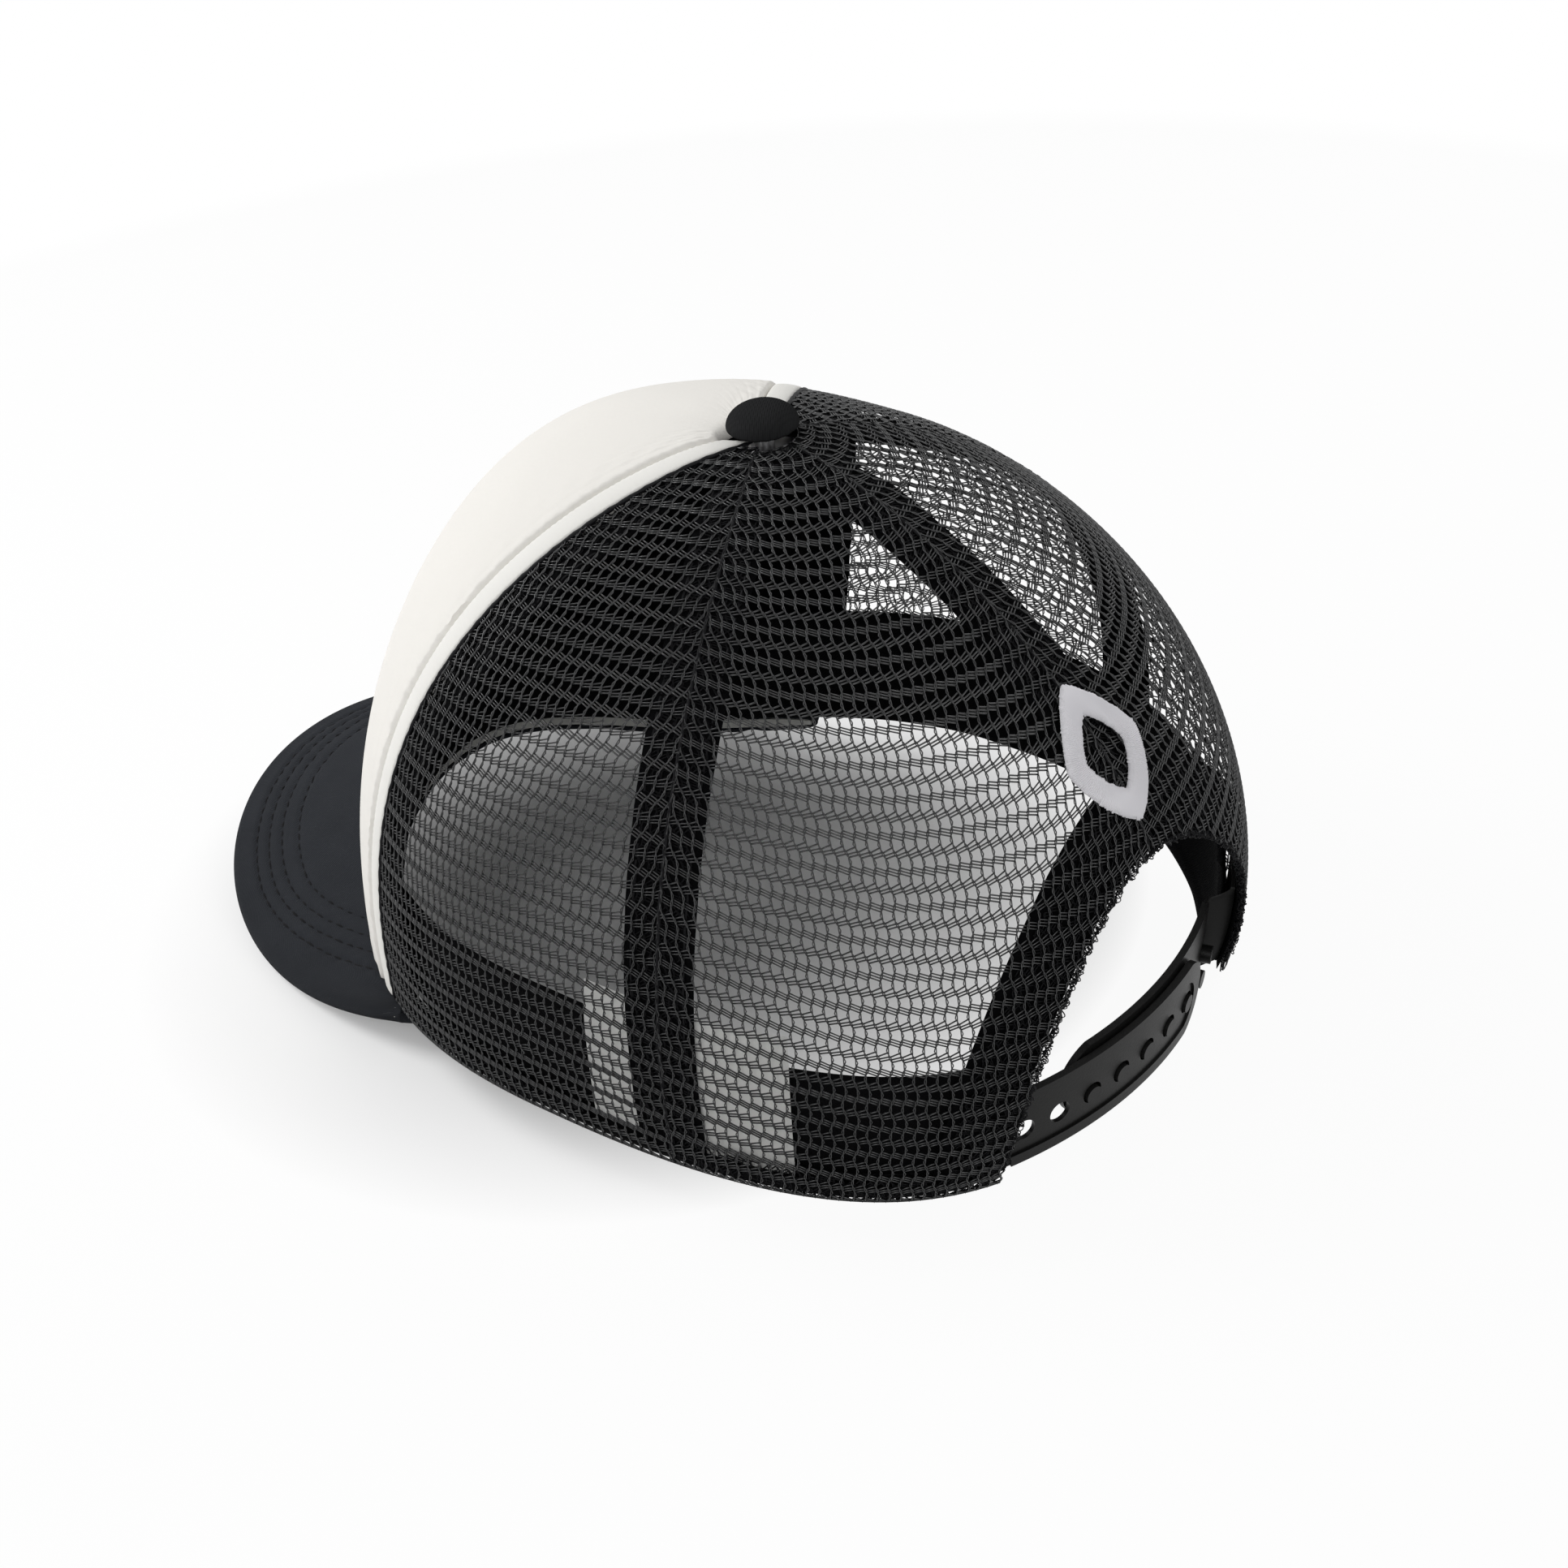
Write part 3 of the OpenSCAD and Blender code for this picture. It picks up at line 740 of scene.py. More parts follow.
class NodeDesk:
    """Short ways to add and join shader nodes in one tree."""

    def __init__(self, tree: bpy.types.NodeTree) -> None:
        """Work on one tree."""
        self.tree = tree

    @staticmethod
    def material(name: str) -> tuple[bpy.types.Material, "NodeDesk"]:
        """Make an empty material and a desk on its tree.

        Args:
            name: its name.

        Returns:
            The material and the desk.
        """
        made = bpy.data.materials.new(name)
        made.use_nodes = True
        made.node_tree.nodes.clear()
        return made, NodeDesk(made.node_tree)

    def add(self, kind: str, inputs: Optional[dict] = None, **settings: object) -> bpy.types.Node:
        """Add a node.

        Args:
            kind: its type's name after ShaderNode.
            inputs: a value or a socket to join, by input.
            settings: what is set on the node itself.

        Returns:
            The node.
        """
        node = self.tree.nodes.new("ShaderNode" + kind)
        for key, value in settings.items():
            setattr(node, key, value)
        for key, value in (inputs or {}).items():
            if isinstance(value, bpy.types.NodeSocket):
                self.tree.links.new(value, node.inputs[key])
            else:
                node.inputs[key].default_value = value
        return node

    def seen(self) -> bpy.types.NodeSocket:
        """Give 1 on the rays that show the backdrop, straight, in a gloss or through glass.

        Returns:
            The socket.
        """
        path = self.add("LightPath").outputs
        bent = self.math("MAXIMUM", path["Is Glossy Ray"], path["Is Transmission Ray"])
        return self.math("MAXIMUM", path["Is Camera Ray"], bent)

    def math(self, operation: str, first: object, second: object = 0.0) -> bpy.types.NodeSocket:
        """Add a Math node and give its output."""
        return self.add("Math", {0: first, 1: second}, operation=operation).outputs[0]


class Groups:
    """Node groups that the finishes share."""

    made: dict[str, bpy.types.NodeTree] = {}

    @classmethod
    def start(cls, name: str, inputs: dict[str, tuple[str, object]],
              outputs: Sequence[str]) -> tuple[bpy.types.NodeTree, NodeDesk, dict, bpy.types.Node]:
        """Make an empty group with its sockets.

        Args:
            name: the group's name.
            inputs: socket kind and default value by input name.
            outputs: names of its value outputs.

        Returns:
            The tree, a desk on it, its input sockets by name and its output node.
        """
        tree = bpy.data.node_groups.new(name, "ShaderNodeTree")
        for key, (kind, value) in inputs.items():
            socket = tree.interface.new_socket(name=key, in_out="INPUT", socket_type=kind)
            if value is not None:
                socket.default_value = value
        for key in outputs:
            tree.interface.new_socket(name=key, in_out="OUTPUT", socket_type="NodeSocketFloat")
        entry, leave = tree.nodes.new("NodeGroupInput"), tree.nodes.new("NodeGroupOutput")
        return tree, NodeDesk(tree), {s.name: s for s in entry.outputs}, leave

    @classmethod
    def woven(cls) -> bpy.types.NodeTree:
        """Give the group that draws crossing yarns on a UV map in decimetres.

        Returns:
            The group.
        """
        if "woven" not in cls.made:
            tree, desk, read, leave = cls.start("woven", {
                "Vector": ("NodeSocketVector", None), "Pitch": ("NodeSocketFloat", 0.6),
                "Slant": ("NodeSocketFloat", 0.0), "Cross": ("NodeSocketFloat", 1.0)}, ["Height"])
            turns = desk.math("DIVIDE", 2 * math.pi * DECIMETRE, read["Pitch"])
            parts = desk.add("SeparateXYZ", {0: read["Vector"]}).outputs
            slanted = desk.math("ADD", parts["X"], desk.math("MULTIPLY", parts["Y"], read["Slant"]))
            warp = desk.math("SINE", desk.math("MULTIPLY", slanted, turns))
            weft = desk.math("SINE", desk.math("MULTIPLY", parts["Y"], turns))
            crossing = desk.math("MULTIPLY", desk.math("MULTIPLY", warp, weft), read["Cross"])
            ridge = desk.math("MULTIPLY", warp, desk.math("SUBTRACT", 1.0, read["Cross"]))
            height = desk.math("ADD", crossing, ridge)
            tree.links.new(desk.math("MULTIPLY_ADD", height, 0.5), leave.inputs["Height"])
            cls.made["woven"] = tree
        return cls.made["woven"]

    @classmethod
    def uneven(cls) -> bpy.types.NodeTree:
        """Give the group that draws soft blotches and fine grain in real size.

        Returns:
            The group.
        """
        if "uneven" not in cls.made:
            tree, desk, read, leave = cls.start("uneven", {
                "Blotch": ("NodeSocketFloat", 12.0), "Grain": ("NodeSocketFloat", 0.8)},
                ["Blotch", "Grain"])
            where = desk.add("TexCoord").outputs["Object"]
            for name, detail in (("Blotch", 3.0), ("Grain", 2.0)):
                scale = desk.math("DIVIDE", 1000.0, read[name])
                noise = desk.add("TexNoise", {"Vector": where, "Scale": scale, "Detail": detail})
                tree.links.new(noise.outputs["Fac"], leave.inputs[name])
            cls.made["uneven"] = tree
        return cls.made["uneven"]


@dataclass(frozen=True)
class Finish:
    """One material: its colour, gloss and the texture that the eye finds close up."""

    name: str
    color: tuple[float, float, float]
    rough: float
    weave: Weave = Weave.MOULDED
    pitch: float = 0.6
    relief: float = 0.08
    mottle: float = 0.08
    sheen: float = 0.0
    specular: float = 0.5
    metallic: float = 0.0
    grain: float = 0.8
    rough_spread: float = 0.06

    def material(self) -> bpy.types.Material:
        """Give this finish's material, made the first time it is asked for.

        Returns:
            The material.
        """
        found = bpy.data.materials.get(self.name)
        if found is not None:
            return found
        made, desk = NodeDesk.material(self.name)
        spots = desk.add("Group", node_tree=Groups.uneven())
        spots.inputs["Grain"].default_value = self.grain
        height = self.yarns(desk) if self.weave in SLANT_AND_CROSSING else spots.outputs["Grain"]
        dark, pale = (tuple(min(1.0, c * (1 + change)) for c in self.color) + (1.0,)
                      for change in (-self.mottle, self.mottle))
        tint = desk.add("Mix", {"Factor": spots.outputs["Blotch"], 6: dark, 7: pale}, data_type="RGBA")
        shade = desk.add("MapRange", {"Value": spots.outputs["Grain"],
                                      "To Min": self.rough - self.rough_spread,
                                      "To Max": min(1.0, self.rough + self.rough_spread)})
        bump = desk.add("Bump", {"Height": height, "Distance": self.relief * MM, "Strength": 1.0})
        shader = desk.add("BsdfPrincipled", {
            "Base Color": tint.outputs[2], "Roughness": shade.outputs["Result"],
            "Normal": bump.outputs["Normal"], "Metallic": self.metallic,
            "Specular IOR Level": self.specular, "Sheen Weight": self.sheen, "Sheen Roughness": 0.5})
        desk.add("OutputMaterial", {"Surface": shader.outputs[0]})
        return made

    def yarns(self, desk: NodeDesk) -> bpy.types.NodeSocket:
        """Add this weave's yarns and give their height.

        Args:
            desk: a desk on the material's tree.

        Returns:
            The socket.
        """
        slant, cross = SLANT_AND_CROSSING[self.weave]
        group = desk.add("Group", node_tree=Groups.woven())
        desk.tree.links.new(desk.add("UVMap").outputs["UV"], group.inputs["Vector"])
        for name, value in (("Pitch", self.pitch), ("Slant", slant), ("Cross", cross)):
            group.inputs[name].default_value = value
        return group.outputs["Height"]


FOAM = Finish("foam", (0.83, 0.81, 0.77), 0.95, Weave.FELT, relief=0.07, mottle=0.015, sheen=0.05,
              specular=0.1)
PIPING = Finish("piping", (0.84, 0.83, 0.795), 0.9, Weave.PLAIN, pitch=0.35, relief=0.03, mottle=0.02,
                specular=0.1)
NYLON = Finish("net_nylon", (0.010, 0.0105, 0.0115), 0.34, mottle=0.3, relief=0.03, specular=0.8)
# A darker, duller copy of the net's nylon: painted shade on the net folded under the seams, the loose
# loops at the opening and the net's edge by the piping.
PAINTED_SHADE_NYLON = Finish("net_under", (0.006, 0.006, 0.007), 0.6, mottle=0.3, relief=0.03, specular=0.12)
TAPE = Finish("tape", (0.004, 0.004, 0.0045), 0.9, Weave.TWILL, pitch=0.7, relief=0.10, mottle=0.2,
              specular=0.02)
TRICOT = Finish("lining", (0.004, 0.004, 0.0045), 0.9, Weave.KNIT, pitch=0.9, relief=0.08, mottle=0.2,
                specular=0.02)
BAND = Finish("sweatband", (0.006, 0.006, 0.0065), 0.9, Weave.TWILL, pitch=0.8, relief=0.12,
              mottle=0.2, specular=0.03)
LABEL = Finish("label", (0.80, 0.80, 0.78), 0.5, Weave.SATIN, pitch=0.4, relief=0.03, mottle=0.02)
FLOSS = Finish("floss", (0.80, 0.79, 0.82), 0.38, relief=0.02, mottle=0.05, sheen=0.1, specular=0.4)
THREAD = Finish("black_thread", (0.008, 0.008, 0.009), 0.6, mottle=0.2, relief=0.02, specular=0.1)
BILL = Finish("bill_twill", (0.0255, 0.0275, 0.0320), 0.9, Weave.TWILL, pitch=0.65, relief=0.10,
              mottle=0.16, sheen=0.02, grain=0.5, specular=0.04)
KNIT = Finish("knitted_cover", (0.021, 0.0213, 0.022), 0.85, Weave.KNIT, pitch=0.9, relief=0.22,
              mottle=0.4, specular=0.0)
STEEL = Finish("bare_steel", (0.55, 0.55, 0.56), 0.35, metallic=1.0, relief=0.01, mottle=0.05)
STRAP = Finish("black_plastic", (0.008, 0.008, 0.0078), 0.38, relief=0.02, mottle=0.15, grain=0.5,
               specular=0.12)
BOARD = Finish("stiff_plastic", (0.6, 0.6, 0.57), 0.6, relief=0.02)


# ---------------------------------------------------------------- made pieces


@dataclass
class Made:
    """A dressed piece of the cap. Its subclasses say how the piece is modelled."""

    name: str
    slot: str
    finish: Finish
    nodes: tuple[str, ...] = ()
    body: str = CROWN_BODY
    side: Side = Side.LEFT
    shade_angle: float = 60.0
    finished: Optional[Piece] = field(default=None, init=False)

    def model(self) -> Piece:
        """Model the piece for the left side of the cap."""
        raise NotImplementedError

    def declare(self, piece: Piece) -> None:
        """Take no further step with the finished piece."""

    def build(self) -> None:
        """Model, paint and attach the piece."""
        piece = self.model()
        if self.side is Side.RIGHT:
            Bench.mirror_x(piece)
        piece.data.materials.clear()
        piece.data.materials.append(self.finish.material())
        Bench.smooth(piece, self.shade_angle)
        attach(piece, self.body)
        if self.nodes:
            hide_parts(*self.nodes)
        self.declare(piece)
        self.finished = piece
        LOG.info("%s: %d faces", self.name, len(piece.data.polygons))


@dataclass
class Sheet(Made):
    """A thin closed piece that is modelled flat and then laid in its place.

    Its flat points run from -0.5 to 0.5 across and along, and from 0 on its outer face to -1.
    """

    columns: int = 40
    rows: int = 20
    cloth: tuple[float, float] = (0.0, 0.0)
    flat: tuple[float, float, float] = field(default=(0.0, 0.0, 0.0), init=False)

    def measure(self) -> None:
        """Find the width, length and area that the sheet is cut to; a plain sheet finds none."""

    def place(self, flat: Points) -> Points:
        """Turn flat points into points on the cap, in millimetres."""
        raise NotImplementedError

    def model(self) -> Piece:
        """Model the sheet flat, then lay it in its place.

        Returns:
            The sheet.
        """
        self.measure()
        piece = Bench.sheet(self.name, self.columns, self.rows)
        Bench.lay(piece, self.place, sizes=self.cloth)
        return piece


@dataclass(frozen=True)
class Spots:
    """Points of a sheet: shares across and along it, and millimetres from its edges.

    Attributes:
        k: share across.
        r: share along.
        across: distance in from the nearer side edge.
        along: distance from the foot.
    """

    k: Points
    r: Points
    across: Points
    along: Points

    def on(self, width: float) -> Points:
        """Give the points on a flat cloth of one width, in millimetres."""
        return np.stack([self.k * width, self.along], axis=1)


@dataclass
class Cloth(Sheet):
    """A closed cloth sheet laid on the crown, with its edges rounded."""

    MEASURED = 24

    out: float = 0.0
    thick: float = 0.8
    first: float = 0.0
    last: float = 0.0
    first_mm: float = 0.0
    last_mm: float = 0.0
    low: float = 0.0
    held: str = "stretched"
    rests_on: tuple[str, ...] = ()
    edge: float = 1.0
    rounding: float = 0.42
    widths: Optional[Points] = field(default=None, init=False)
    length: float = field(default=0.0, init=False)

    def region(self, k: Points, r: Points) -> tuple[Points, Points]:
        """Find points of the sheet on the crown.

        Args:
            k: shares across the sheet.
            r: shares up it.

        Returns:
            Their angles and shares t.
        """
        middle = self.first + k * (self.last - self.first)
        t = FORM.top(middle) * (self.low + (1 - self.low) * r)
        start = FORM.beside(np.full_like(k, self.first), t, self.first_mm)
        end = FORM.beside(np.full_like(k, self.last), t, self.last_mm)
        return start + k * (end - start), t

    def surface(self, k: Points, r: Points) -> tuple[Points, Points]:
        """Find the sheet's outer face.

        Args:
            k: shares across the sheet.
            r: shares up it.

        Returns:
            Places and outward normals.
        """
        a, t = self.region(k, r)
        b = FORM.leaned(a, t)
        normal = FORM.normal(b, t)
        return FORM.face(b, t) + self.out * normal, normal

    def relief(self, at: Spots) -> Points:
        """Give how far the outer face stands out of the plain sheet, in millimetres."""
        return np.zeros_like(at.k)

    def measure(self) -> None:
        """Measure the laid sheet, row by row from the foot up."""
        side = self.MEASURED + 1
        k, r = np.meshgrid(np.linspace(0, 1, side), np.linspace(0, 1, side))
        grid = self.surface(k.ravel(), r.ravel())[0].reshape(side, side, 3)
        widths = np.linalg.norm(np.diff(grid, axis=1), axis=2).sum(axis=1)
        lengths = np.linalg.norm(np.diff(grid, axis=0), axis=2).sum(axis=0)
        area = float((widths[1:] + widths[:-1]).sum() / 2 * lengths.mean() / self.MEASURED)
        self.flat = (float(widths.max()), float(lengths.max()), area)
        self.cloth, self.widths, self.length = self.flat[:2], widths, lengths.mean()

    def place(self, flat: Points) -> Points:
        """Lay flat points on the crown, with the sheet's thickness and rounded edges.

        Args:
            flat: points of the flat sheet.

        Returns:
            The points in millimetres.
        """
        k, r = np.clip(flat[:, :2].T + 0.5, 0, 1)
        under = -flat[:, 2]
        width = np.interp(r, np.linspace(0, 1, len(self.widths)), self.widths)
        at = Spots(k, r, np.minimum(k, 1 - k) * width, r * self.length)
        edge = np.minimum(at.across, np.minimum(r, 1 - r) * self.length)
        tuck = 1 - np.sqrt(1 - np.clip(1 - edge / self.edge, 0, 1) ** 2)
        inwards = np.where(under > 0.5, self.rounding, -self.rounding) * self.thick
        depth = self.relief(at) - under * self.thick + inwards * tuck
        point, normal = self.surface(k, r)
        return point + depth[:, None] * normal

    def declare(self, piece: Piece) -> None:
        """Args:
            piece: the finished sheet; not used.
        """
        width, length, area = (self.flat[0] * MM, self.flat[1] * MM, self.flat[2] * MM * MM)
        list(self.rests_on)
        min(area, width * length)


@dataclass
class FoamPanel(Cloth):
    """The padded front, pulled in and puckered where it is sewn."""

    seam_pull: float = 0.3
    seam_reach: float = 0.6
    folds: float = 0.117
    fold_turn: float = 2.1
    fold_reach: float = 3.2
    dimples: float = 0.286
    dimple_reach: float = 7.0
    swell: float = 0.25
    swell_reach: float = 12.0

    def relief(self, at: Spots) -> Points:
        """Pull the foam down beside its seams, with leathery dimples there.

        Args:
            at: points of the sheet.

        Returns:
            One height per point.
        """
        flat = np.stack([at.k * self.flat[0], at.r * self.flat[1]], axis=1)
        near = np.minimum(at.across, at.along + 0.5)
        folds = np.sin(flat[:, 1] * self.fold_turn + 1.4 * sway(flat, 9, 3))
        dimples = 0.7 * sway(flat, 5.5, 5) + 0.4 * sway(flat, 2.6, 6)
        swell = sway(flat, 60, 8) * (1 - bell(near, self.swell_reach))
        return (self.folds * folds * bell(at.across, self.fold_reach)
                + self.dimples * dimples * bell(near, self.dimple_reach)
                + self.swell * swell - self.seam_pull * bell(near, self.seam_reach))

    def declare(self, piece: Piece) -> None:
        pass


@dataclass
class Piping(Cloth):
    """The rolled strip between the foam and the net, finely puckered."""

    swell: float = 0.7
    sunk: float = 0.6
    folds: float = 0.08
    fold_turn: float = 4.1
    fold_slant: float = 2.2

    def relief(self, at: Spots) -> Points:
        """Round the roll and pucker it at a slant.

        Args:
            at: points of the sheet.

        Returns:
            One height per point.
        """
        side = (2 * at.k - 1) ** 2
        turn = (at.along + self.fold_slant * at.k) * self.fold_turn
        folds = np.sin(turn + 0.8 * np.sin(at.along * 0.37))
        return self.swell * (np.sqrt(1 - side) - self.sunk) + self.folds * folds * side

    def declare(self, piece: Piece) -> None:
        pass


@dataclass
class Tape(Cloth):
    """A twill tape over a seam, a little wavy along its edges."""

    seed: int = 1
    width: float = 15.0
    wave: float = 0.12
    stitched_in: float = 1.6
    stitch_pull: float = 0.18

    def relief(self, at: Spots) -> Points:
        """Press the tape down along its stitches.

        Args:
            at: points of the sheet.

        Returns:
            One height per point.
        """
        stitched = bell(at.across, 0.5, self.stitched_in)
        return self.wave * sway(at.on(self.width), 14, self.seed) - self.stitch_pull * stitched


@dataclass
class FrontTape(Tape):
    """The tape inside the front seam: it covers the piping's back and steps out to the net."""

    step: float = 2.6
    step_from: float = 0.36
    step_to: float = 0.48

    def relief(self, at: Spots) -> Points:
        """Step over the edge of the foam.

        Args:
            at: points of the sheet.

        Returns:
            One height per point.
        """
        rise = eased(share_of(at.k, self.step_from, self.step_to))
        return super().relief(at) - self.step * (1 - rise)


@dataclass
class ArchTape(Tape):
    """The tape round the rear opening, set back from the net's raw edge."""

    start: float = 0.03

    @classmethod
    def reached(cls, a: Points, t: Points) -> Points:
        """Share of the way from the opening's middle to the tape's outer edge."""
        turn = FORM.arch_half + FORM.corner_turn(cls.width)
        return np.hypot((BACK - a) / turn, t / FORM.above_arch(cls.width))

    def region(self, k: Points, r: Points) -> tuple[Points, Points]:
        """Find points of the tape on the crown.

        Args:
            k: shares from its inner edge to its outer one.
            r: shares round the arch.

        Returns:
            Their angles and shares t.
        """
        share = self.start + (1 - self.start) * k
        turn = FORM.arch_half + share * FORM.corner_turn(self.width)
        rise = FORM.arch_t + share * (FORM.above_arch(self.width) - FORM.arch_t)
        return BACK - turn * np.cos(np.pi * r), rise * np.sin(np.pi * r)


@dataclass
class LevelCloth(Cloth):
    """A cloth strip between two heights above the rim."""

    foot: float = 0.0
    height: float = 30.0

    def region(self, k: Points, r: Points) -> tuple[Points, Points]:
        """Run k round the rim and r up to the strip's height."""
        a = self.first + k * (self.last - self.first)
        return a, FORM.at_height(a, self.foot + (self.height - self.foot) * r)


@dataclass
class Sweatband(LevelCloth):
    """The folded band inside the rim, soft and quilted by its two stitch lines."""

    swell: float = 0.5
    ripple: float = 0.18
    stitch_pull: float = 0.35
    stitch_rows: tuple[float, float] = (3.0, 27.0)

    def relief(self, at: Spots) -> Points:
        """Swell the band between its stitches and ripple it along the rim.

        Args:
            at: points of the sheet.

        Returns:
            One height per point.
        """
        stitched = sum(bell(at.along, 0.6, row) for row in self.stitch_rows)
        return (self.swell * np.sin(np.pi * at.r) - self.stitch_pull * stitched
                + self.ripple * sway(at.on(self.flat[0]), 22, 11))


@dataclass
class CareLabel(LevelCloth):
    """The bare satin label inside the net, with the small waves of thin cloth."""

    curl: float = 1.2
    sewn: float = 0.45

    def relief(self, at: Spots) -> Points:
        """Wave the label's free edges inwards.

        Args:
            at: points of the sheet.

        Returns:
            One height per point.
        """
        free = np.clip(np.abs(2 * at.k - 1) - self.sewn, 0, 1)
        return -self.curl * free * (1 + 0.5 * np.sin(6.0 * at.r + 2 * at.k)) * at.r


@dataclass
class TopPatch(Cloth):
    """Black cloth under the button, which hides the washer through the net."""

    radius: float = 15.0
    clear: float = 0.4

    def region(self, k: Points, r: Points) -> tuple[Points, Points]:
        """Run k round the net side of the top and r from the patch's edge to the shank."""
        a = self.first + k * (self.last - self.first)
        return a, FORM.at_radius(a, self.radius + (FORM.top_hole + self.clear - self.radius) * r)

    def declare(self, piece: Piece) -> None:
        """Take no further step with the small patch."""


# ---------------------------------------------------------------- net


@dataclass
class Net(Made):
    """An open net of waved chains and three-bar rungs, laid on a flat-cut panel.

    Pitch and period are the width and height of a stitch, apart and over how a chain's two strands
    twist, and rise and spread how its bars slant. A net with a band is cut down to a frame of that
    width, as a seam's allowances are. One that is arched leaves the rear opening free.
    """

    first: float = 0.0
    last: float = 0.0
    first_mm: float = 0.0
    last_mm: float = 0.0
    arched: bool = False
    pitch: float = 2.3
    period: float = 6.8
    swing: float = 0.43
    pointed: float = 0.9
    chain: float = 0.145
    chain_depth: float = 0.32
    apart: float = 0.19
    over: float = 0.09
    bar: float = 0.19
    bar_depth: float = 0.4
    bar_step: float = 0.55
    rise: float = 0.34
    spread: float = 0.33
    deep: float = 0.0
    turn: float = 0.0
    band: float = 0.0
    hem: float = 0.5
    sewn_in: float = 1.6
    goes_with: tuple[Made, ...] = ()
    flat: tuple[float, float, float] = field(default=(0.0, 0.0, 0.0), init=False)

    def wave(self, v: Points) -> Points:
        """Sideways place of a chain at a height up the panel."""
        turn = np.asarray(v) * 2 * math.pi / self.period
        return self.swing * np.arcsin(self.pointed * np.sin(turn)) / math.asin(self.pointed)

    def strand(self, phase: float) -> Piece:
        """Model one of a chain's two strands over one wave.

        Args:
            phase: how far this strand is turned round the chain.

        Returns:
            The strand.
        """
        foot = -self.period / 4
        piece = Bench.open_rod(self.chain, (0, foot, 0), (0, foot + self.period, 0), 3, 11)
        flat = Bench.points(piece) / MM
        twist = flat[:, 1] * 4 * math.pi / self.period + phase
        flat[:, 0] += self.wave(flat[:, 1]) + self.apart * np.cos(twist)
        flat[:, 2] += -self.chain_depth + self.over * np.sin(twist)
        Bench.put(piece, flat)
        return piece

    def rungs(self) -> list[Piece]:
        """Model the six bars that one wave carries to the next chain.

        Returns:
            The bars.
        """
        bars = []
        for middle, hand in ((0.0, -1), (self.period / 2, 1)):
            for i in (-1, 0, 1):
                start = middle - hand * self.rise + i * self.bar_step
                end = middle + hand * self.rise + i * self.bar_step
                if hand == 1 and i == 1:
                    end += self.spread
                near = (float(self.wave(start)), start, -self.bar_depth)
                far = (self.pitch + float(self.wave(end)), end, -self.bar_depth)
                bars.append(Bench.rod(self.bar, near, far, 3))
        return bars

    def edges(self, cut: FlatCut) -> list[Points]:
        """Find how far across the flat panel its two sewn edges lie, level by level.

        Args:
            cut: the panel's flat pattern.

        Returns:
            One row of places per edge.
        """
        found = []
        for angle, mm in ((self.first, self.first_mm), (self.last, self.last_mm)):
            edge = FORM.beside(np.full_like(cut.ts, angle), cut.ts, mm)
            found.append(np.array([np.interp(at, cut.angles, row)
                                   for at, row in zip(edge, cut.across)]))
        return found

    def knit(self, left: float, right: float, length: float) -> Piece:
        """Model one stitch and repeat it over a panel.

        Args:
            left: where the first chain lies.
            right: how far the chains reach.
            length: how long they are.

        Returns:
            The flat net, with its first chain at zero.
        """
        piece = Bench.join(self.name, [self.strand(0.0), self.strand(math.pi)] + self.rungs())
        Bench.repeat(piece, int(length / self.period) + 2, (0, self.period, 0), merge=True)
        Bench.repeat(piece, int((right - left) / self.pitch) + 1, (self.pitch, 0, 0))
        return piece

    def model(self) -> Piece:
        """Knit the net, lay it over the panel and trim it.

        Returns:
            The net.
        """
        cut = FlatCut((self.first + self.last) / 2, self.first, self.last)
        edges = self.edges(cut)
        self.flat = self.cut_size(cut, edges)
        spare = self.pitch + 1.1 * math.sin(math.radians(self.turn)) * cut.length / 2
        left, right = float(edges[0].min()) - spare, float(edges[1].max()) + spare
        piece = self.knit(left, right, cut.length)
        flat = self.drape(Bench.points(piece) / MM + (left, 0, -self.deep), cut.length / 2)
        low, high = (np.interp(flat[:, 1], cut.up, edge) for edge in edges)
        past = np.maximum(np.maximum(low - flat[:, 0], flat[:, 0] - high),
                          np.maximum(-flat[:, 1], flat[:, 1] - cut.length))
        flat[:, 0] = self.hemmed(flat[:, 0], low, high)
        flat[:, 1] = self.hemmed(flat[:, 1], 0.0, cut.length)
        a, t = cut.find(flat[:, 0], flat[:, 1])
        Bench.put(piece, FORM.place(a, t, flat[:, 2]))
        Bench.trim(piece, self.cut_off(flat, a, t, past))
        return piece

    def drape(self, flat: Points, middle: float) -> Points:
        """Turn the flat net about the panel's middle and let its threads stray.

        Args:
            flat: points of the flat net.
            middle: half of the panel's length.

        Returns:
            The moved points.
        """
        if self.turn:
            c, s = math.cos(math.radians(self.turn)), math.sin(math.radians(self.turn))
            x, y = flat[:, 0].copy(), flat[:, 1] - middle
            flat[:, 0], flat[:, 1] = c * x - s * y, s * x + c * y + middle
        flat[:, 0] += 0.10 * sway(flat, 35, 21)
        flat[:, 1] += 0.12 * sway(flat, 28, 22)
        return flat

    def cut_off(self, flat: Points, a: Points, t: Points, past: Points) -> Points:
        """Find what is trimmed off the net.

        Args:
            flat: points of the draped net.
            a: their angles on the crown.
            t: their shares t.
            past: how far they lie past the panel's edges.

        Returns:
            True for each point that goes.
        """
        gone, inner = past > self.sewn_in, -past
        if self.arched:
            height = FORM.arch_edge(a)
            gone |= (height > 0) & (t < height + 0.006 * sway(flat, 3.0, 23))
            inner = np.where(ArchTape.reached(a, t) < 0.97, 0.0, inner)
        if self.band:
            gone |= inner > self.band
        return gone

    def hemmed(self, value: Points, low: Points | float, high: Points | float) -> Points:
        """Crowd what lies outside two limits into a narrow hem."""
        under, over = np.maximum(low - value, 0), np.maximum(value - high, 0)
        return np.clip(value, low, high) + self.hem * (np.exp(-under) - np.exp(-over))

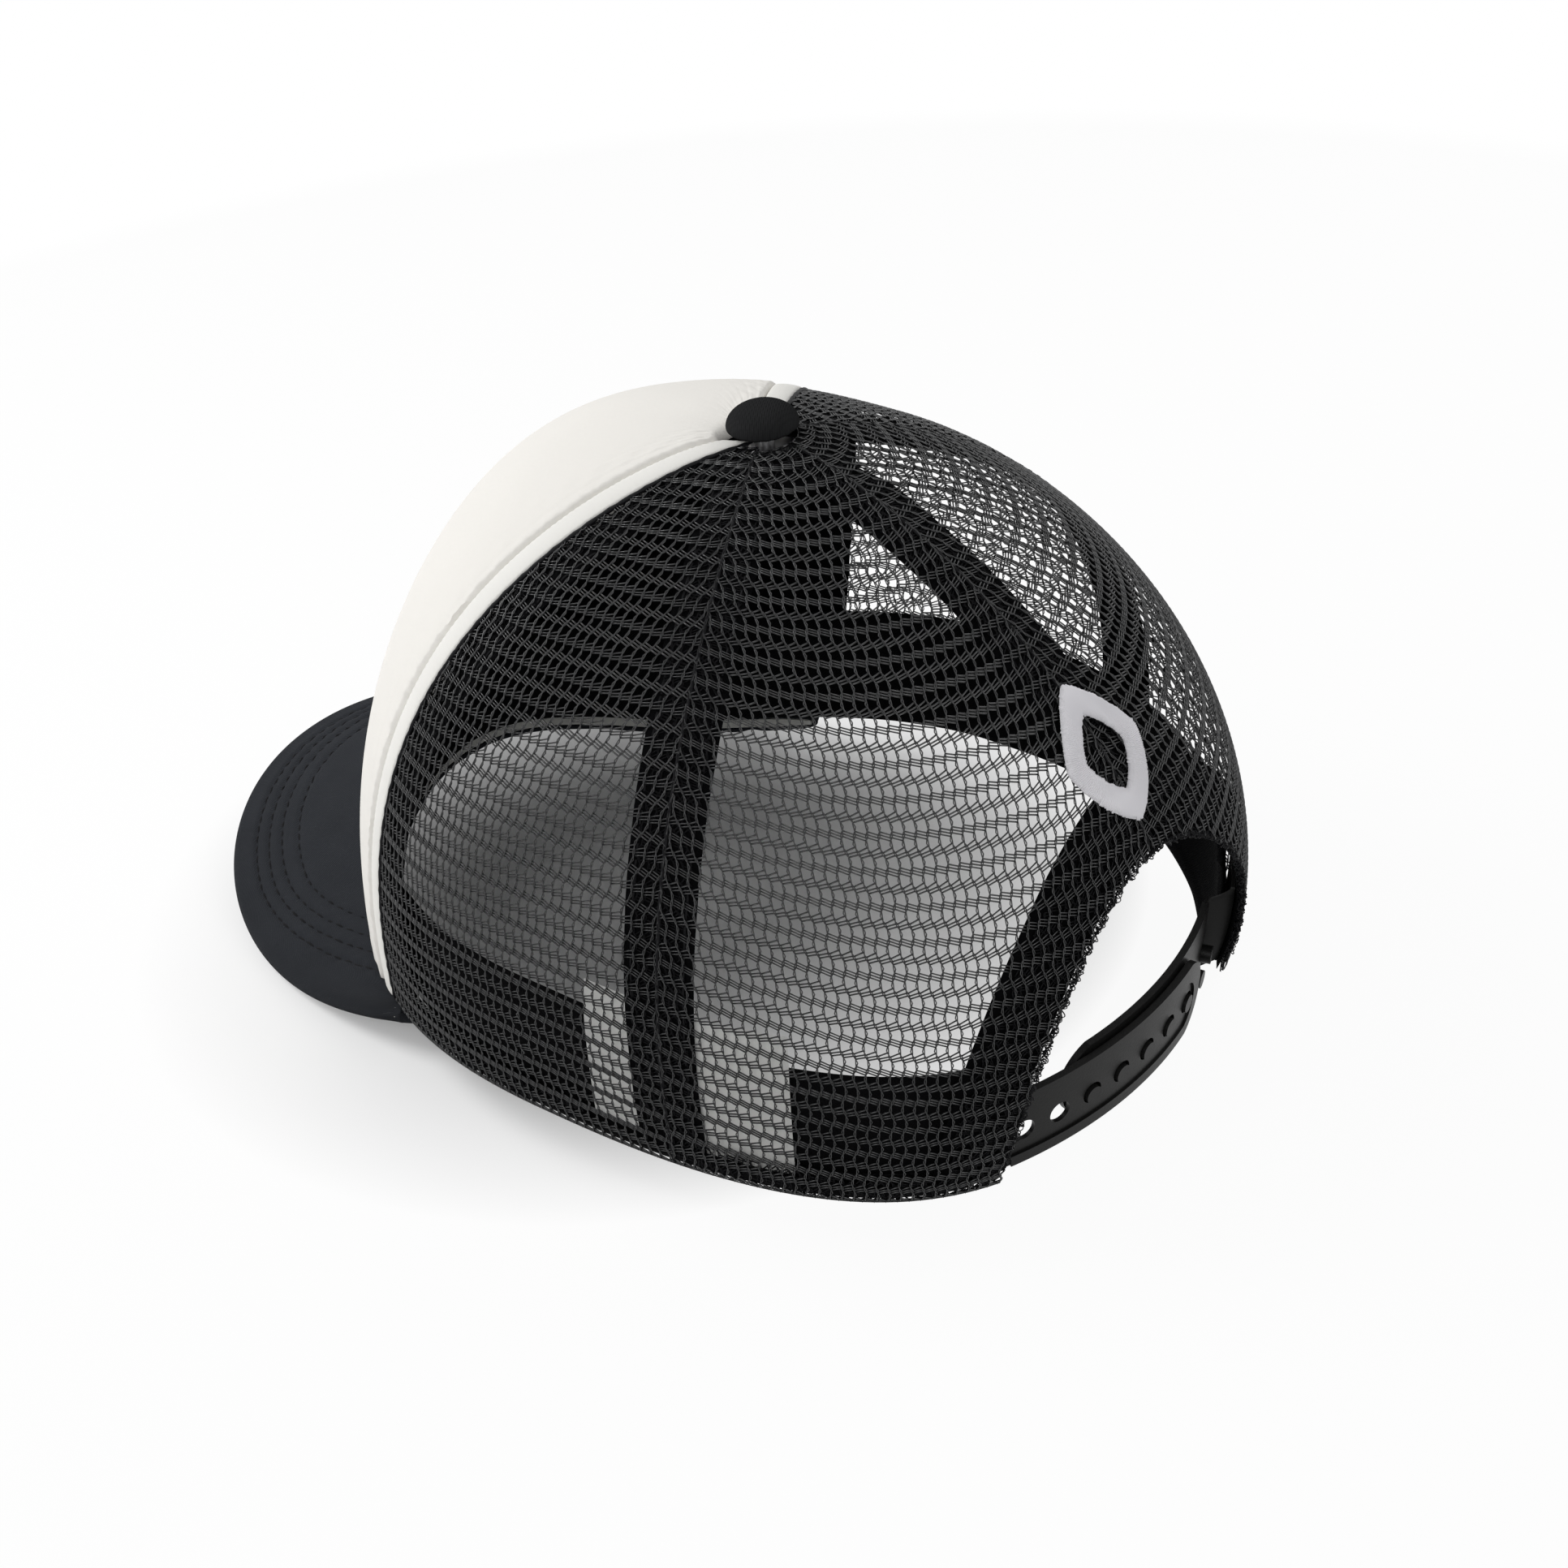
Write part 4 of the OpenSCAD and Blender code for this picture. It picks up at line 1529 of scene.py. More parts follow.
    def cut_size(self, cut: FlatCut, edges: Sequence[Points]) -> tuple[float, float, float]:
        """Measure the panel as it is cut.

        Args:
            cut: its flat pattern.
            edges: how far across its two edges lie.

        Returns:
            Its width, length and area in millimetres.
        """
        widths = np.maximum(edges[1] - edges[0], 0)
        if self.arched:
            arch = FORM.arch_edge(np.linspace(self.first, self.last, 60))
            widths = widths * (1 - np.mean(arch[None, :] > cut.ts[:, None], axis=1))
        area = float(np.sum((widths[1:] + widths[:-1]) / 2 * np.diff(cut.up)))
        return float(np.max(edges[1] - edges[0])), cut.length, area

    def declare(self, piece: Piece) -> None:
        """Args:
            piece: the finished net; not used.
        """
        if self.band:
            return
        width, length, area = self.flat
        min(area, width * length) * MM * MM
        [part.finished for part in self.goes_with]


# ---------------------------------------------------------------- threads and ridges


@dataclass
class Line(Made):
    """A piece that is modelled straight along X and then laid on a track."""

    track: Optional[Track] = None

    def straight(self) -> Piece:
        """Model the piece straight, and leave it active."""
        raise NotImplementedError

    def bend(self, flat: Points) -> Points:
        """Give the straight piece's points the form that they have beside the track."""
        raise NotImplementedError

    def model(self) -> Piece:
        """Model the piece straight and lay it on its track.

        Returns:
            The piece.
        """
        piece = self.straight()
        Bench.named(self.name)
        Bench.lay(piece, lambda flat: self.track.place(self.bend(flat)), scale=1 / MM)
        return piece


@dataclass
class Stitches(Line):
    """A row of separate machine stitches along a line."""

    long: float = 2.6
    gap: float = 0.5
    radius: float = 0.2
    dip: float = 0.25
    raised: float = 0.4
    slant: float = 0.0

    def straight(self) -> Piece:
        """Model one stitch and repeat it.

        Returns:
            The straight row.
        """
        step = self.long + self.gap
        piece = Bench.rod(self.radius, (0, 0, 0), (self.long, 0, 0), 5, 2)
        Bench.repeat(piece, max(1, int(self.track.length / step)), (step, 0, 0))
        return piece

    def bend(self, flat: Points) -> Points:
        """Slant each stitch and pull its ends into the cloth.

        Args:
            flat: points of the straight row.

        Returns:
            The points beside the track.
        """
        share = np.clip((flat[:, 0] % (self.long + self.gap)) / self.long, 0, 1) * 2 - 1
        lift = self.dip * (self.raised - share ** 4)
        return flat + np.stack([np.zeros_like(share), self.slant * share, lift], axis=1)


@dataclass
class Roll(Line):
    """A long rounded ridge of sewn cloth along a line."""

    width: float = 1.1
    height: float = 0.6
    rings: int = 240
    ripple: float = 0.06
    ripple_pitch: float = 1.6
    taper: float = 0.8
    end_size: float = 0.3

    def straight(self) -> Piece:
        """Model a straight rod."""
        return Bench.rod(1.0, (0, 0, 0), (self.track.length, 0, 0), 8, self.rings)

    def bend(self, flat: Points) -> Points:
        """Flatten the rod, ripple it and taper its ends.

        Args:
            flat: points of the straight rod.

        Returns:
            The points beside the track.
        """
        wave = 1 + self.ripple * np.sin(flat[:, 0] * 2 * math.pi / self.ripple_pitch)
        end = share_of(np.minimum(flat[:, 0], self.track.length - flat[:, 0]), 0, self.taper)
        size = wave * (self.end_size + (1 - self.end_size) * end)
        return flat * np.stack([np.ones_like(size), self.width * size, self.height * size], axis=1)


@dataclass
class EdgeLoops(Line):
    """Loose thread loops along the cut edge of the net."""

    loops: int = 560
    radius: float = 0.13
    inside: float = 0.9
    reach: tuple[float, float] = (-0.5, 0.6)
    wide: tuple[float, float] = (0.7, 1.7)
    depth: tuple[float, float] = (-1.2, 0.0)
    lean: float = 0.45
    stray: float = 0.3
    lift: float = 0.35
    seed: int = 9

    def straight(self) -> Piece:
        """Model one thread and repeat it, a millimetre for each loop.

        Returns:
            The straight thread.
        """
        piece = Bench.rod(self.radius, (MM, 0, 0), (1 - MM, 0, 0), 4, 8)
        Bench.repeat(piece, self.loops, (1, 0, 0))
        return piece

    def bend(self, flat: Points) -> Points:
        """Bend every millimetre of thread into its own loop.

        Args:
            flat: points of the straight thread.

        Returns:
            The points beside the track.
        """
        rng = np.random.default_rng(self.seed)
        spot = np.linspace(1, self.track.length - 1, self.loops) + rng.normal(0, self.stray, self.loops)
        wide = rng.uniform(*self.wide, self.loops)
        tall = self.inside + rng.uniform(*self.reach, self.loops)
        lean = rng.normal(0, self.lean, self.loops)
        depth = rng.uniform(*self.depth, self.loops)
        i = np.clip(flat[:, 0].astype(int), 0, self.loops - 1)
        turn = np.pi * (flat[:, 0] - i)
        c, s = np.cos(turn), np.sin(turn)
        dx, dy = wide[i] * s / 2 + lean[i] * c, -tall[i] * c
        aside = flat[:, 1] / np.maximum(np.hypot(dx, dy), TINY)
        return np.stack([spot[i] - wide[i] * c / 2 + lean[i] * s - dy * aside,
                         self.inside - tall[i] * s + dx * aside,
                         depth[i] + self.lift * np.sin(2 * turn + i) + flat[:, 2]], axis=1)


# ---------------------------------------------------------------- bill


@dataclass(frozen=True)
class BillForm:
    """The arched sheet that the bill's covers and board follow.

    Seen from above, its outer edge is a rounded front that stands on a line at corner. It turns
    in behind that line by horn_turn degrees of a second curve, horn_depth deep.
    """

    half_width: float = 73.5
    corner: float = 60.0
    reach: float = 50.0
    roundness: float = 2.05
    horn_depth: float = 55.0
    horn_turn: float = 11.5
    bend: float = 100.0
    slope: float = 0.25
    angle: float = 61.0
    gap: float = 0.7
    tuck: float = 3.6
    half_thick: float = 1.9
    cover: float = 0.8

    def outline(self, u: Points) -> Points:
        """Find the outer edge, seen from above.

        Args:
            u: shares along the edge, from -1 to 1.

        Returns:
            The points.
        """
        turn = np.radians((90 + self.horn_turn) * u)
        s, c = np.sin(turn), np.cos(turn)
        depth = np.where(c > 0, FORM.front_reach + self.reach - self.corner, self.horn_depth)
        power = 2 / self.roundness
        return np.stack([self.half_width * np.sign(s) * np.abs(s) ** power,
                         -self.corner - depth * np.sign(c) * np.abs(c) ** power], axis=-1)

    def bent(self, p: Points) -> Points:
        """Height of the bent sheet over points seen from above."""
        return self.slope * p[..., 1] - p[..., 0] ** 2 / (2 * self.bend)

    @property
    def lowest(self) -> float:
        """Lowest height on the outer edge."""
        return float(self.bent(self.outline(np.linspace(-1, 1, 27))).min())

    def outer(self, u: Points) -> Points:
        """Outer edge of the bill's middle sheet."""
        p = self.outline(u)
        return np.concatenate([p, (self.bent(p) - self.lowest + self.cover)[..., None]], axis=-1)

    def inner(self, u: Points) -> Points:
        """Inner edge of the bill's middle sheet, tucked under the crown's rim.

        Args:
            u: shares along the edge, from -1 to 1.

        Returns:
            The points.
        """
        p = FORM.face(self.angle * u, np.zeros_like(u))
        k = 1 - self.tuck / FORM.front_reach
        return p * np.array([k, k, 1]) - np.array([0, 0, self.gap + 1.2 * self.half_thick])

    def middle(self, u: Points, v: Points) -> Points:
        """Points of the middle sheet, v from 0 inside to 1 outside."""
        return self.inner(u) * (1 - v[..., None]) + self.outer(u) * v[..., None]

    def surface(self, u: Points, v: Points) -> tuple[Points, Points]:
        """Find the middle sheet.

        Args:
            u: shares along its edge, from -1 to 1.
            v: shares from its inner edge to its outer one.

        Returns:
            Places and upward normals.
        """
        along = self.middle(u + 0.01, v) - self.middle(u - 0.01, v)
        return self.middle(u, v), unit(np.cross(self.outer(u) - self.inner(u), along))


SHEET = BillForm()


@dataclass
class BillCover(Sheet):
    """One cloth face of the bill, puffed between its rows of stitches."""

    up: int = 1
    columns: int = 170
    rows: int = 84
    cloth: tuple[float, float] = (190.0, 60.0)
    rows_from_edge: tuple[float, ...] = (6.8, 10.1, 13.6, 18.2)
    valley: float = 0.55
    valley_width: float = 0.6
    pucker: float = 0.2
    pucker_width: float = 1.5
    puckers: float = 190.0
    puff: float = 0.25
    roll: float = 2.4
    corner_length: float = 110.0

    @staticmethod
    def edge_distance(u: Points, v: Points) -> Points:
        """Distance in from the bill's outer edge.

        Args:
            u: shares along the edge, from -1 to 1.
            v: shares from the inner edge to the outer one.

        Returns:
            One distance per point, in millimetres.
        """
        ahead = SHEET.outer(u) - SHEET.inner(u)
        heading = SHEET.outer(np.minimum(1, u + FORM.step)) - SHEET.outer(u - FORM.step)
        span = np.linalg.norm(ahead, axis=-1)
        slide = np.linalg.norm(heading, axis=-1)
        cosine = np.abs((ahead * heading).sum(axis=-1)) / np.maximum(span * slide, TINY)
        return (1 - v) * span * np.sqrt(np.maximum(0.05, 1 - cosine ** 2))

    def row_distance(self, u: Points, v: Points) -> Points:
        """Distance from the edge as the rows of stitches count it: they spread at the sides."""
        return self.edge_distance(u, v) / (1 + 0.85 * eased(share_of(np.abs(u), 0.45, 0.85)))

    def height(self, u: Points, v: Points) -> Points:
        """Height of the cloth over the middle sheet.

        Args:
            u: shares along the edge, from -1 to 1.
            v: shares from the inner edge to the outer one.

        Returns:
            One height per point.
        """
        near = np.minimum(self.edge_distance(u, v), (1 - np.abs(u)) * self.corner_length)
        roll = np.sqrt(1 - np.clip(1 - near / self.roll, 0, 1) ** 2)
        from_edge = self.row_distance(u, v)
        valleys, close = (sum(bell(from_edge, width, row) for row in self.rows_from_edge)
                          for width in (self.valley_width, self.pucker_width))
        flat = np.stack([u * 75, v * 60], axis=1)
        ripple = 0.10 * sway(flat, 9, 41 + self.up) + 0.16 * sway(flat, 30, 44)
        puckers = close * np.sin(u * self.puckers + 3 * sway(flat, 12, 47))
        ripple += self.pucker * share_of(v, 0.12, 0.27) * puckers
        sewn = SHEET.half_thick + self.puff - self.valley * np.minimum(valleys, 1)
        return np.maximum(0.05, sewn * roll + ripple * share_of(near, 0, 6))

    def measure(self) -> None:
        """Measure the middle sheet and keep the size that the cover is cut to."""
        u, v = np.meshgrid(np.linspace(-1, 1, 60), np.linspace(0, 1, 20))
        grid = SHEET.middle(u, v)
        wide = np.linalg.norm(np.diff(grid, axis=1), axis=2)
        long = np.linalg.norm(np.diff(grid, axis=0), axis=2)
        area = float((wide[1:] + wide[:-1]).sum() / 2 * long.mean())
        self.flat = (float(wide.sum(axis=1).max()), float(long.sum(axis=0).max()), area)

    def place(self, flat: Points) -> Points:
        """Lay flat points over the board, with finer rows at the cover's edges.

        Args:
            flat: points of the flat cover.

        Returns:
            The points in millimetres.
        """
        u = np.clip(flat[:, 0] * 2, -0.9995, 0.9995)
        u = np.sign(u) * (1 - (1 - np.abs(u)) ** 1.15) * -self.up
        v = 1 - (0.5 - flat[:, 1]) ** 1.5
        point, normal = SHEET.surface(u, v)
        under = np.clip(-flat[:, 2], 0, 1)
        depth = np.maximum(0.02, self.height(u, v) - under * SHEET.cover)
        return point + self.up * depth[:, None] * normal

    def declare(self, piece: Piece) -> None:
        """Args:
            piece: the finished cover; not used.
        """
        width, length, area = self.flat
        area = min(area, width * length)
        max(area, 0.3 * width * length) * MM * MM

    def stitch_track(self, row: float) -> Track:
        """Give the line of one stitch row.

        Args:
            row: its distance from the edge in millimetres.

        Returns:
            The line, as far as the row stays clear of the crown.
        """
        u = np.linspace(-0.93, 0.93, 500)
        v = np.full_like(u, 0.8)
        for _ in range(40):
            v = v + (self.row_distance(u, v) - row) / 90.0
        u, v = u[v > 0.02], v[v > 0.02]
        point, normal = SHEET.surface(u, v)
        normal = normal * self.up
        return Track(point + self.height(u, v)[:, None] * normal, normal)


# ---------------------------------------------------------------- small pieces


@dataclass
class SatinRing(Made):
    """A lozenge ring of satin stitch: threads side by side across its border, over a core."""

    width: float = 22.0
    height: float = 30.0
    roundness: float = 1.5
    border: float = 5.0
    above: float = 5.0
    raised: float = 1.1
    threads: int = 170
    thread: float = 0.26
    ragged: float = 0.13
    core: float = 0.5
    core_rods: int = 240
    core_depth: float = 5.0

    def ring(self, s: Points, inset: Points) -> Points:
        """Points of the lozenge's outline.

        Args:
            s: turns round it, in radians.
            inset: how far in from its outer edge, in millimetres.

        Returns:
            The flat points.
        """
        c, q = np.cos(s), np.sin(s)
        slim = self.height / self.width
        x = np.sign(c) * np.abs(c) ** self.roundness * (self.width / 2 - inset)
        y = np.sign(q) * np.abs(q) ** self.roundness * (self.height - 2 * inset * slim) / 2
        return np.stack([x, y], axis=-1)

    def sew(self, flat: Points) -> Points:
        """Bend straight threads over the border.

        Args:
            flat: points of the threads and the core, x across the border and y round it.

        Returns:
            The same points on the flat ring, with z as their height over it.
        """
        s = np.linspace(0, 2 * math.pi, 2001)
        along = run_lengths(self.ring(s, np.full_like(s, self.border / 2)))
        wobble = np.random.default_rng(6).normal(scale=self.ragged, size=self.threads + 2)
        index = np.clip(np.rint(flat[:, 1]).astype(int), 0, self.threads)
        is_core = flat[:, 2] < -self.core_depth / 2
        share = np.clip(flat[:, 0], 0, 1)
        centre = np.where(is_core, flat[:, 1], index)
        spot = np.interp(centre / self.threads * along[-1], along, s)
        ends = np.where(is_core, 0, wobble[index]) * (np.abs(share - 0.5) > 0.4)
        inset = share * self.border + ends
        aside = unit(self.ring(spot + 0.002, inset) - self.ring(spot - 0.002, inset))
        beside = np.where(is_core, 0, flat[:, 1] - centre)
        dome = np.sqrt(np.clip(1 - (2 * share - 1) ** 2, 0, 1))
        low = 0.1 + (self.raised - 0.45) * dome + (flat[:, 2] + self.core_depth) * 0.3
        high = 0.25 + (self.raised - 0.2) * dome + flat[:, 2]
        xy = self.ring(spot, inset) + aside * beside[:, None]
        return np.column_stack([xy, np.where(is_core, low, high)])

    def place(self, flat: Points) -> Points:
        """Sew the threads and lay them over the back seam.

        Args:
            flat: points of the straight threads and the core.

        Returns:
            The points in millimetres.
        """
        middle = FORM.above_arch(self.above + self.height / 2)
        low, high = (FORM.place(np.array(BACK), middle + step) for step in (-FORM.step, FORM.step))
        turn = 1 / float(FORM.mm_per_degree(np.array(BACK), middle))
        rise = 2 * FORM.step / float(np.linalg.norm(high - low))
        x, y, lift = self.sew(flat).T
        return FORM.place(BACK + x * turn, middle + y * rise, lift)

    def model(self) -> Piece:
        """Model the threads and their core straight, and lay the ring on the back seam.

        Returns:
            The ring.
        """
        threads = Bench.rod(self.thread, (0, 0, 0), (1, 0, 0), 4, 7)
        Bench.repeat(threads, self.threads, (0, 1, 0))
        core = Bench.rod(self.core, (0, 0, -self.core_depth), (1, 0, -self.core_depth), 4, 3)
        Bench.repeat(core, self.core_rods, (0, self.threads / self.core_rods, 0))
        piece = Bench.join(self.name, [threads, core])
        Bench.lay(piece, self.place, scale=1 / MM)
        return piece


@dataclass
class Button(Made):
    """The cloth-covered button: a flattened dome with its cloth gathered underneath."""

    diameter: float = 14.6
    height: float = 6.5
    foot: float = 127.6
    under: float = 0.3
    gathers: int = 18
    gather: float = 0.012

    def model(self) -> Piece:
        """Model the cover as a squashed ball with a flat foot.

        Returns:
            The cover.
        """
        Bench.clear()
        bpy.ops.mesh.primitive_uv_sphere_add(segments=72, ring_count=36, radius=1.0)
        piece = Bench.named(self.name)
        ball = Bench.points(piece)
        radius = self.diameter / 2
        Bench.weave(piece, ball[:, :2] * radius)
        x, y, up = ball.T
        folds = np.sin(np.arctan2(y, x) * self.gathers) * np.clip(-up * 2, 0, 1)
        grow = radius * (1 + self.gather * folds)
        tall = self.height * np.where(up > 0, 1 - self.under, self.under)
        level = self.foot + self.height * self.under + up * tall
        Bench.put(piece, np.stack([x * grow, y * grow + FORM.setback, level], axis=1))
        return piece


@dataclass
class StrapTab(Sheet):
    """The sewn end of a strap: it spreads from the bend to the inside of the net."""

    radius: float = 90.36
    up: float = 0.0
    bend: float = 23.98
    lean: float = 8.0
    height: float = 18.5
    foot: float = 0.8
    thick: float = 0.9
    near: float = 149.6
    far: float = 142.0
    flare: float = 9.0
    blend: float = 0.25
    edge: float = 0.02
    depth: float = 2.5
    cloth: tuple[float, float] = (20.0, 22.0)

    def strap_point(self, level: Points, out: Points) -> Points:
        """A place where the tab leaves the strap's leaning band.

        Args:
            level: how far up the band.
            out: how far out of its middle.

        Returns:
            The points.
        """
        lean = math.radians(self.lean)
        r = self.radius + level * math.sin(lean) + out * math.cos(lean)
        turn = math.radians(self.bend + 0.3)
        height = self.foot + self.up + level * math.cos(lean) - out * math.sin(lean)
        return np.stack([r * math.sin(turn), r * math.cos(turn), height], axis=-1)

    def place(self, flat: Points) -> Points:
        """Lay flat points from the strap to the inside of the net.

        Args:
            flat: points of the flat tab.

        Returns:
            The points in millimetres.
        """
        k, r, under = 0.5 - flat[:, 0], flat[:, 1] + 0.5, -flat[:, 2]
        level = (self.edge + (1 - 2 * self.edge) * r) * self.height
        strap = self.strap_point(level, 0.75 + self.thick * (0.5 - under))
        a = self.near + (self.far - self.near) * share_of(k, self.blend, 1)
        tall = 0.7 + level + self.flare * r * k + self.up * 0.5
        sewn = FORM.place(a, FORM.at_height(a, tall), -self.depth - self.thick * under)
        blend = eased(share_of(k, 0, self.blend))[:, None]
        return strap * (1 - blend) + sewn * blend


# ---------------------------------------------------------------- the cap


class Cap:
    """All dressed pieces of the cap and the frame pieces that keep their CAD shape."""

    ALL_ROUND = 180.0
    SEWN_GAP = 0.15
    PIPING_HALF = 3.35
    NET_START = 3.55
    TAPE_HALF = 7.5
    TAPE_OUT = -1.15
    TAPE_THICK = 0.7
    TAPE_STITCH = 5.6
    STITCH_OUT = -0.75
    BAND_END = 149.0

    def __init__(self) -> None:
        """List the pieces in the order they are made."""
        front = FORM.front_seam + 2
        self.loose: tuple[Made, ...] = (
            EdgeLoops("arch_edge_loops", "black_net", PAINTED_SHADE_NYLON, track=self.arch_line()),
            TopPatch("crown_top_patch", "black_tape", TAPE, columns=90, rows=6, out=-1.0, thick=0.5,
                     first=front, last=2 * BACK - front, edge=0.4))
        self.pieces: list[Made] = list(self.loose)
        for side, word in ((Side.LEFT, "left"), (Side.RIGHT, "right")):
            self.pieces += self.nets(side, word) + self.seams(side, word)
        self.pieces += self.middle() + self.inside() + self.bill()

    def nets(self, side: Side, word: str) -> list[Made]:
        """Give the two nets of one half, and the nets folded under along their seams.

        Args:
            side: which half.
            word: that side in the pieces' names.

        Returns:
            The pieces, those folded under first.
        """
        gap = self.SEWN_GAP
        panels = {
            "side": {"first": FORM.front_seam, "last": FORM.side_seam, "first_mm": self.NET_START,
                     "last_mm": -gap},
            "rear": {"first": FORM.side_seam, "last": BACK, "first_mm": gap, "last_mm": -gap,
                     "arched": True}}
        loose = {"side": (), "rear": self.loose if side is Side.LEFT else ()}
        # The folded-under nets take the net nylon's darker copy, painted shade.
        under = {part: Net(f"{word}_{part}_net_allowance", "black_net", PAINTED_SHADE_NYLON, side=side,
                           shade_angle=self.ALL_ROUND, pitch=1.75, period=5.2, deep=0.45,
                           turn=17.0, band=6.0, **cut) for part, cut in panels.items()}
        over = [Net(f"{word}_{part}_net_cloth", "black_net", NYLON, (f"{word}_{part}_net",),
                    side=side, shade_angle=self.ALL_ROUND, goes_with=(under[part], *loose[part]),
                    **cut) for part, cut in panels.items()]
        return [*under.values(), *over]

    def seams(self, side: Side, word: str) -> list[Made]:
        """Give the piping, tapes, ridges and stitches of one half.

        Args:
            side: which half.
            word: that side in the pieces' names.

        Returns:
            The pieces.
        """
        front, seam = FORM.front_seam, FORM.side_seam
        tape = {"side": side, "out": self.TAPE_OUT, "thick": self.TAPE_THICK}
        tape_rows = (("side_tape", seam, self.TAPE_STITCH), ("side_tape_far", seam, -self.TAPE_STITCH),
                     ("front_tape", front, self.NET_START + 9.2))
        return [
            Piping(f"{word}_piping_roll", "piping_cloth", PIPING, (f"{word}_piping",), side=side,
                   columns=14, rows=420, thick=2.6, first=front, last=front,
                   first_mm=-self.PIPING_HALF, last_mm=self.PIPING_HALF, edge=0.7),
            FrontTape(f"{word}_front_seam_tape", "black_tape", TAPE, (f"{word}_front_tape",),
                      columns=30, rows=120, first=front, last=front, first_mm=-5.0,
                      last_mm=self.NET_START + 11, seed=2, **tape),
            Tape(f"{word}_side_seam_tape", "black_tape", TAPE, (f"{word}_side_tape",),
                 columns=16, rows=130, first=seam, last=seam, first_mm=-self.TAPE_HALF,
                 last_mm=self.TAPE_HALF, seed=3, **tape),
            Roll(f"{word}_side_seam_ridge", "black_net", THREAD, side=side,
                 track=Track.seam(seam, 0.0, -0.6), width=0.4, height=0.3),
            Stitches(f"{word}_side_seam_stitches", "black_tape", THREAD, side=side,
                     track=Track.seam(seam, 0.0, -0.3), long=2.4, slant=0.25),
            *(Stitches(f"{word}_{row}_stitches", "black_tape", THREAD, side=side,
                       track=Track.seam(angle, mm, self.STITCH_OUT)) for row, angle, mm in tape_rows),
            Roll(f"{word}_piping_net_edge", "black_net", PAINTED_SHADE_NYLON, side=side,
                 track=Track.seam(front, self.NET_START + 0.1, -0.35), width=0.45, height=0.45,
                 ripple=0.2, ripple_pitch=1.2)]

    def middle(self) -> list[Made]:
        """Give the pieces on the middle line.

        Returns:
            The pieces.
        """
        front, top = FORM.front_seam, float(FORM.top(BACK))
        return [
            FoamPanel("front_foam_cloth", "foam_cloth", FOAM, ("front_panel",), columns=190,
                      rows=170, out=0.45, thick=3.2, first=-front, last=front,
                      first_mm=3.3, last_mm=-3.3, edge=0.8),
            Cloth("front_lining_cloth", "black_tape", TRICOT, ("front_lining",), columns=60, rows=50,
                  out=-3.1, thick=0.6, first=-front, last=front, first_mm=3.4, last_mm=-3.4,
                  rests_on=("front_foam_cloth",)),
            Tape("back_seam_tape_cloth", "black_tape", TAPE, ("back_seam_tape",), columns=16, rows=90,
                 out=self.TAPE_OUT, thick=self.TAPE_THICK, first=BACK, last=BACK,
                 first_mm=-self.TAPE_HALF, last_mm=self.TAPE_HALF,
                 low=(FORM.above_arch(ArchTape.width) + 0.01) / top, seed=4),
            Roll("back_seam_ridge", "black_net", THREAD,
                 track=Track.seam(BACK, 0.0, -0.6, low=FORM.arch_t / top + 0.01), width=0.4, height=0.3),
            ArchTape("arch_tape_cloth", "black_tape", TAPE, ("arch_tape",), columns=14, rows=190,
                     out=-1.4, thick=0.75, seed=5),
            SatinRing("back_satin_ring", "white_thread", FLOSS, ("back_embroidery",)),
            Button("button_knit_cover", "button_knit", KNIT, ("button_cover",))]

    @staticmethod
    def arch_line() -> Track:
        """Give the line of the rear opening's edge, from near one corner to near the other."""
        s = np.linspace(0.1, np.pi - 0.1, 400)
        return Track.on_crown(BACK - FORM.arch_half * np.cos(s), FORM.arch_t * np.sin(s), -0.2)

    def inside(self) -> list[Made]:
        """Give the pieces along the rim and inside it.

        Returns:
            The pieces.
        """
        end = self.BAND_END
        return [
            Sweatband("sweatband_cloth_fold", "sweatband_cloth", BAND, ("sweatband",), columns=260,
                      rows=26, out=-4.8, thick=1.6, first=-end, last=end, held="folded"),
            Stitches("sweatband_low_stitches", "sweatband_cloth", THREAD,
                     track=Track.level(end, 3.0, -4.7), radius=0.22),
            CareLabel("care_label_satin", "label_satin", LABEL, ("care_label",), columns=24, rows=26,
                      out=-2.25, thick=0.35, first=94.6, last=120.4, foot=1.0, height=39.0,
                      held="hung", rests_on=("left_side_seam_tape",)),
            Roll("rim_fold", "sweatband_cloth", BAND, track=Track.level(end, 1.5, -2.5),
                 width=2.3, height=1.8, rings=520, ripple=0.03, ripple_pitch=2.4),
            StrapTab("left_strap_sewn_end", "strap_plastic", STRAP, ("left_strap_tab",)),
            StrapTab("right_strap_sewn_end", "strap_plastic", STRAP, ("right_strap_tab",),
                     side=Side.RIGHT, radius=88.46, up=1.6)]

    def bill(self) -> list[Made]:
        """Give the two covers of the bill and their rows of stitches.

        Returns:
            The pieces, covers first.
        """
        covers = {"top": BillCover("bill_top_cloth", "bill_cloth", BILL, ("bill_top_cover",)),
                  "under": BillCover("bill_under_cloth", "bill_cloth", BILL, ("bill_under_cover",),
                                     up=-1)}
        rows = [Stitches(f"bill_{word}_stitches_{i}", "bill_cloth", THREAD,
                         track=cover.stitch_track(row), long=2.9, gap=0.6, radius=0.22, dip=0.3)
                for word, cover in covers.items() for i, row in enumerate(cover.rows_from_edge, 1)]
        return [*covers.values(), *rows]

    def build(self) -> None:
        """Make every piece and paint the frame pieces that stay."""
        for piece in self.pieces:
            piece.build()
        for node, finish in (("bill_board", BOARD), ("button_shell", STEEL), ("button_washer", STEEL),
                             ("hole_strap", STRAP), ("peg_strap", STRAP)):
            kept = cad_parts[node]
            kept.data.materials.clear()
            kept.data.materials.append(finish.material())
            Bench.smooth(kept, 35)


# ---------------------------------------------------------------- studio


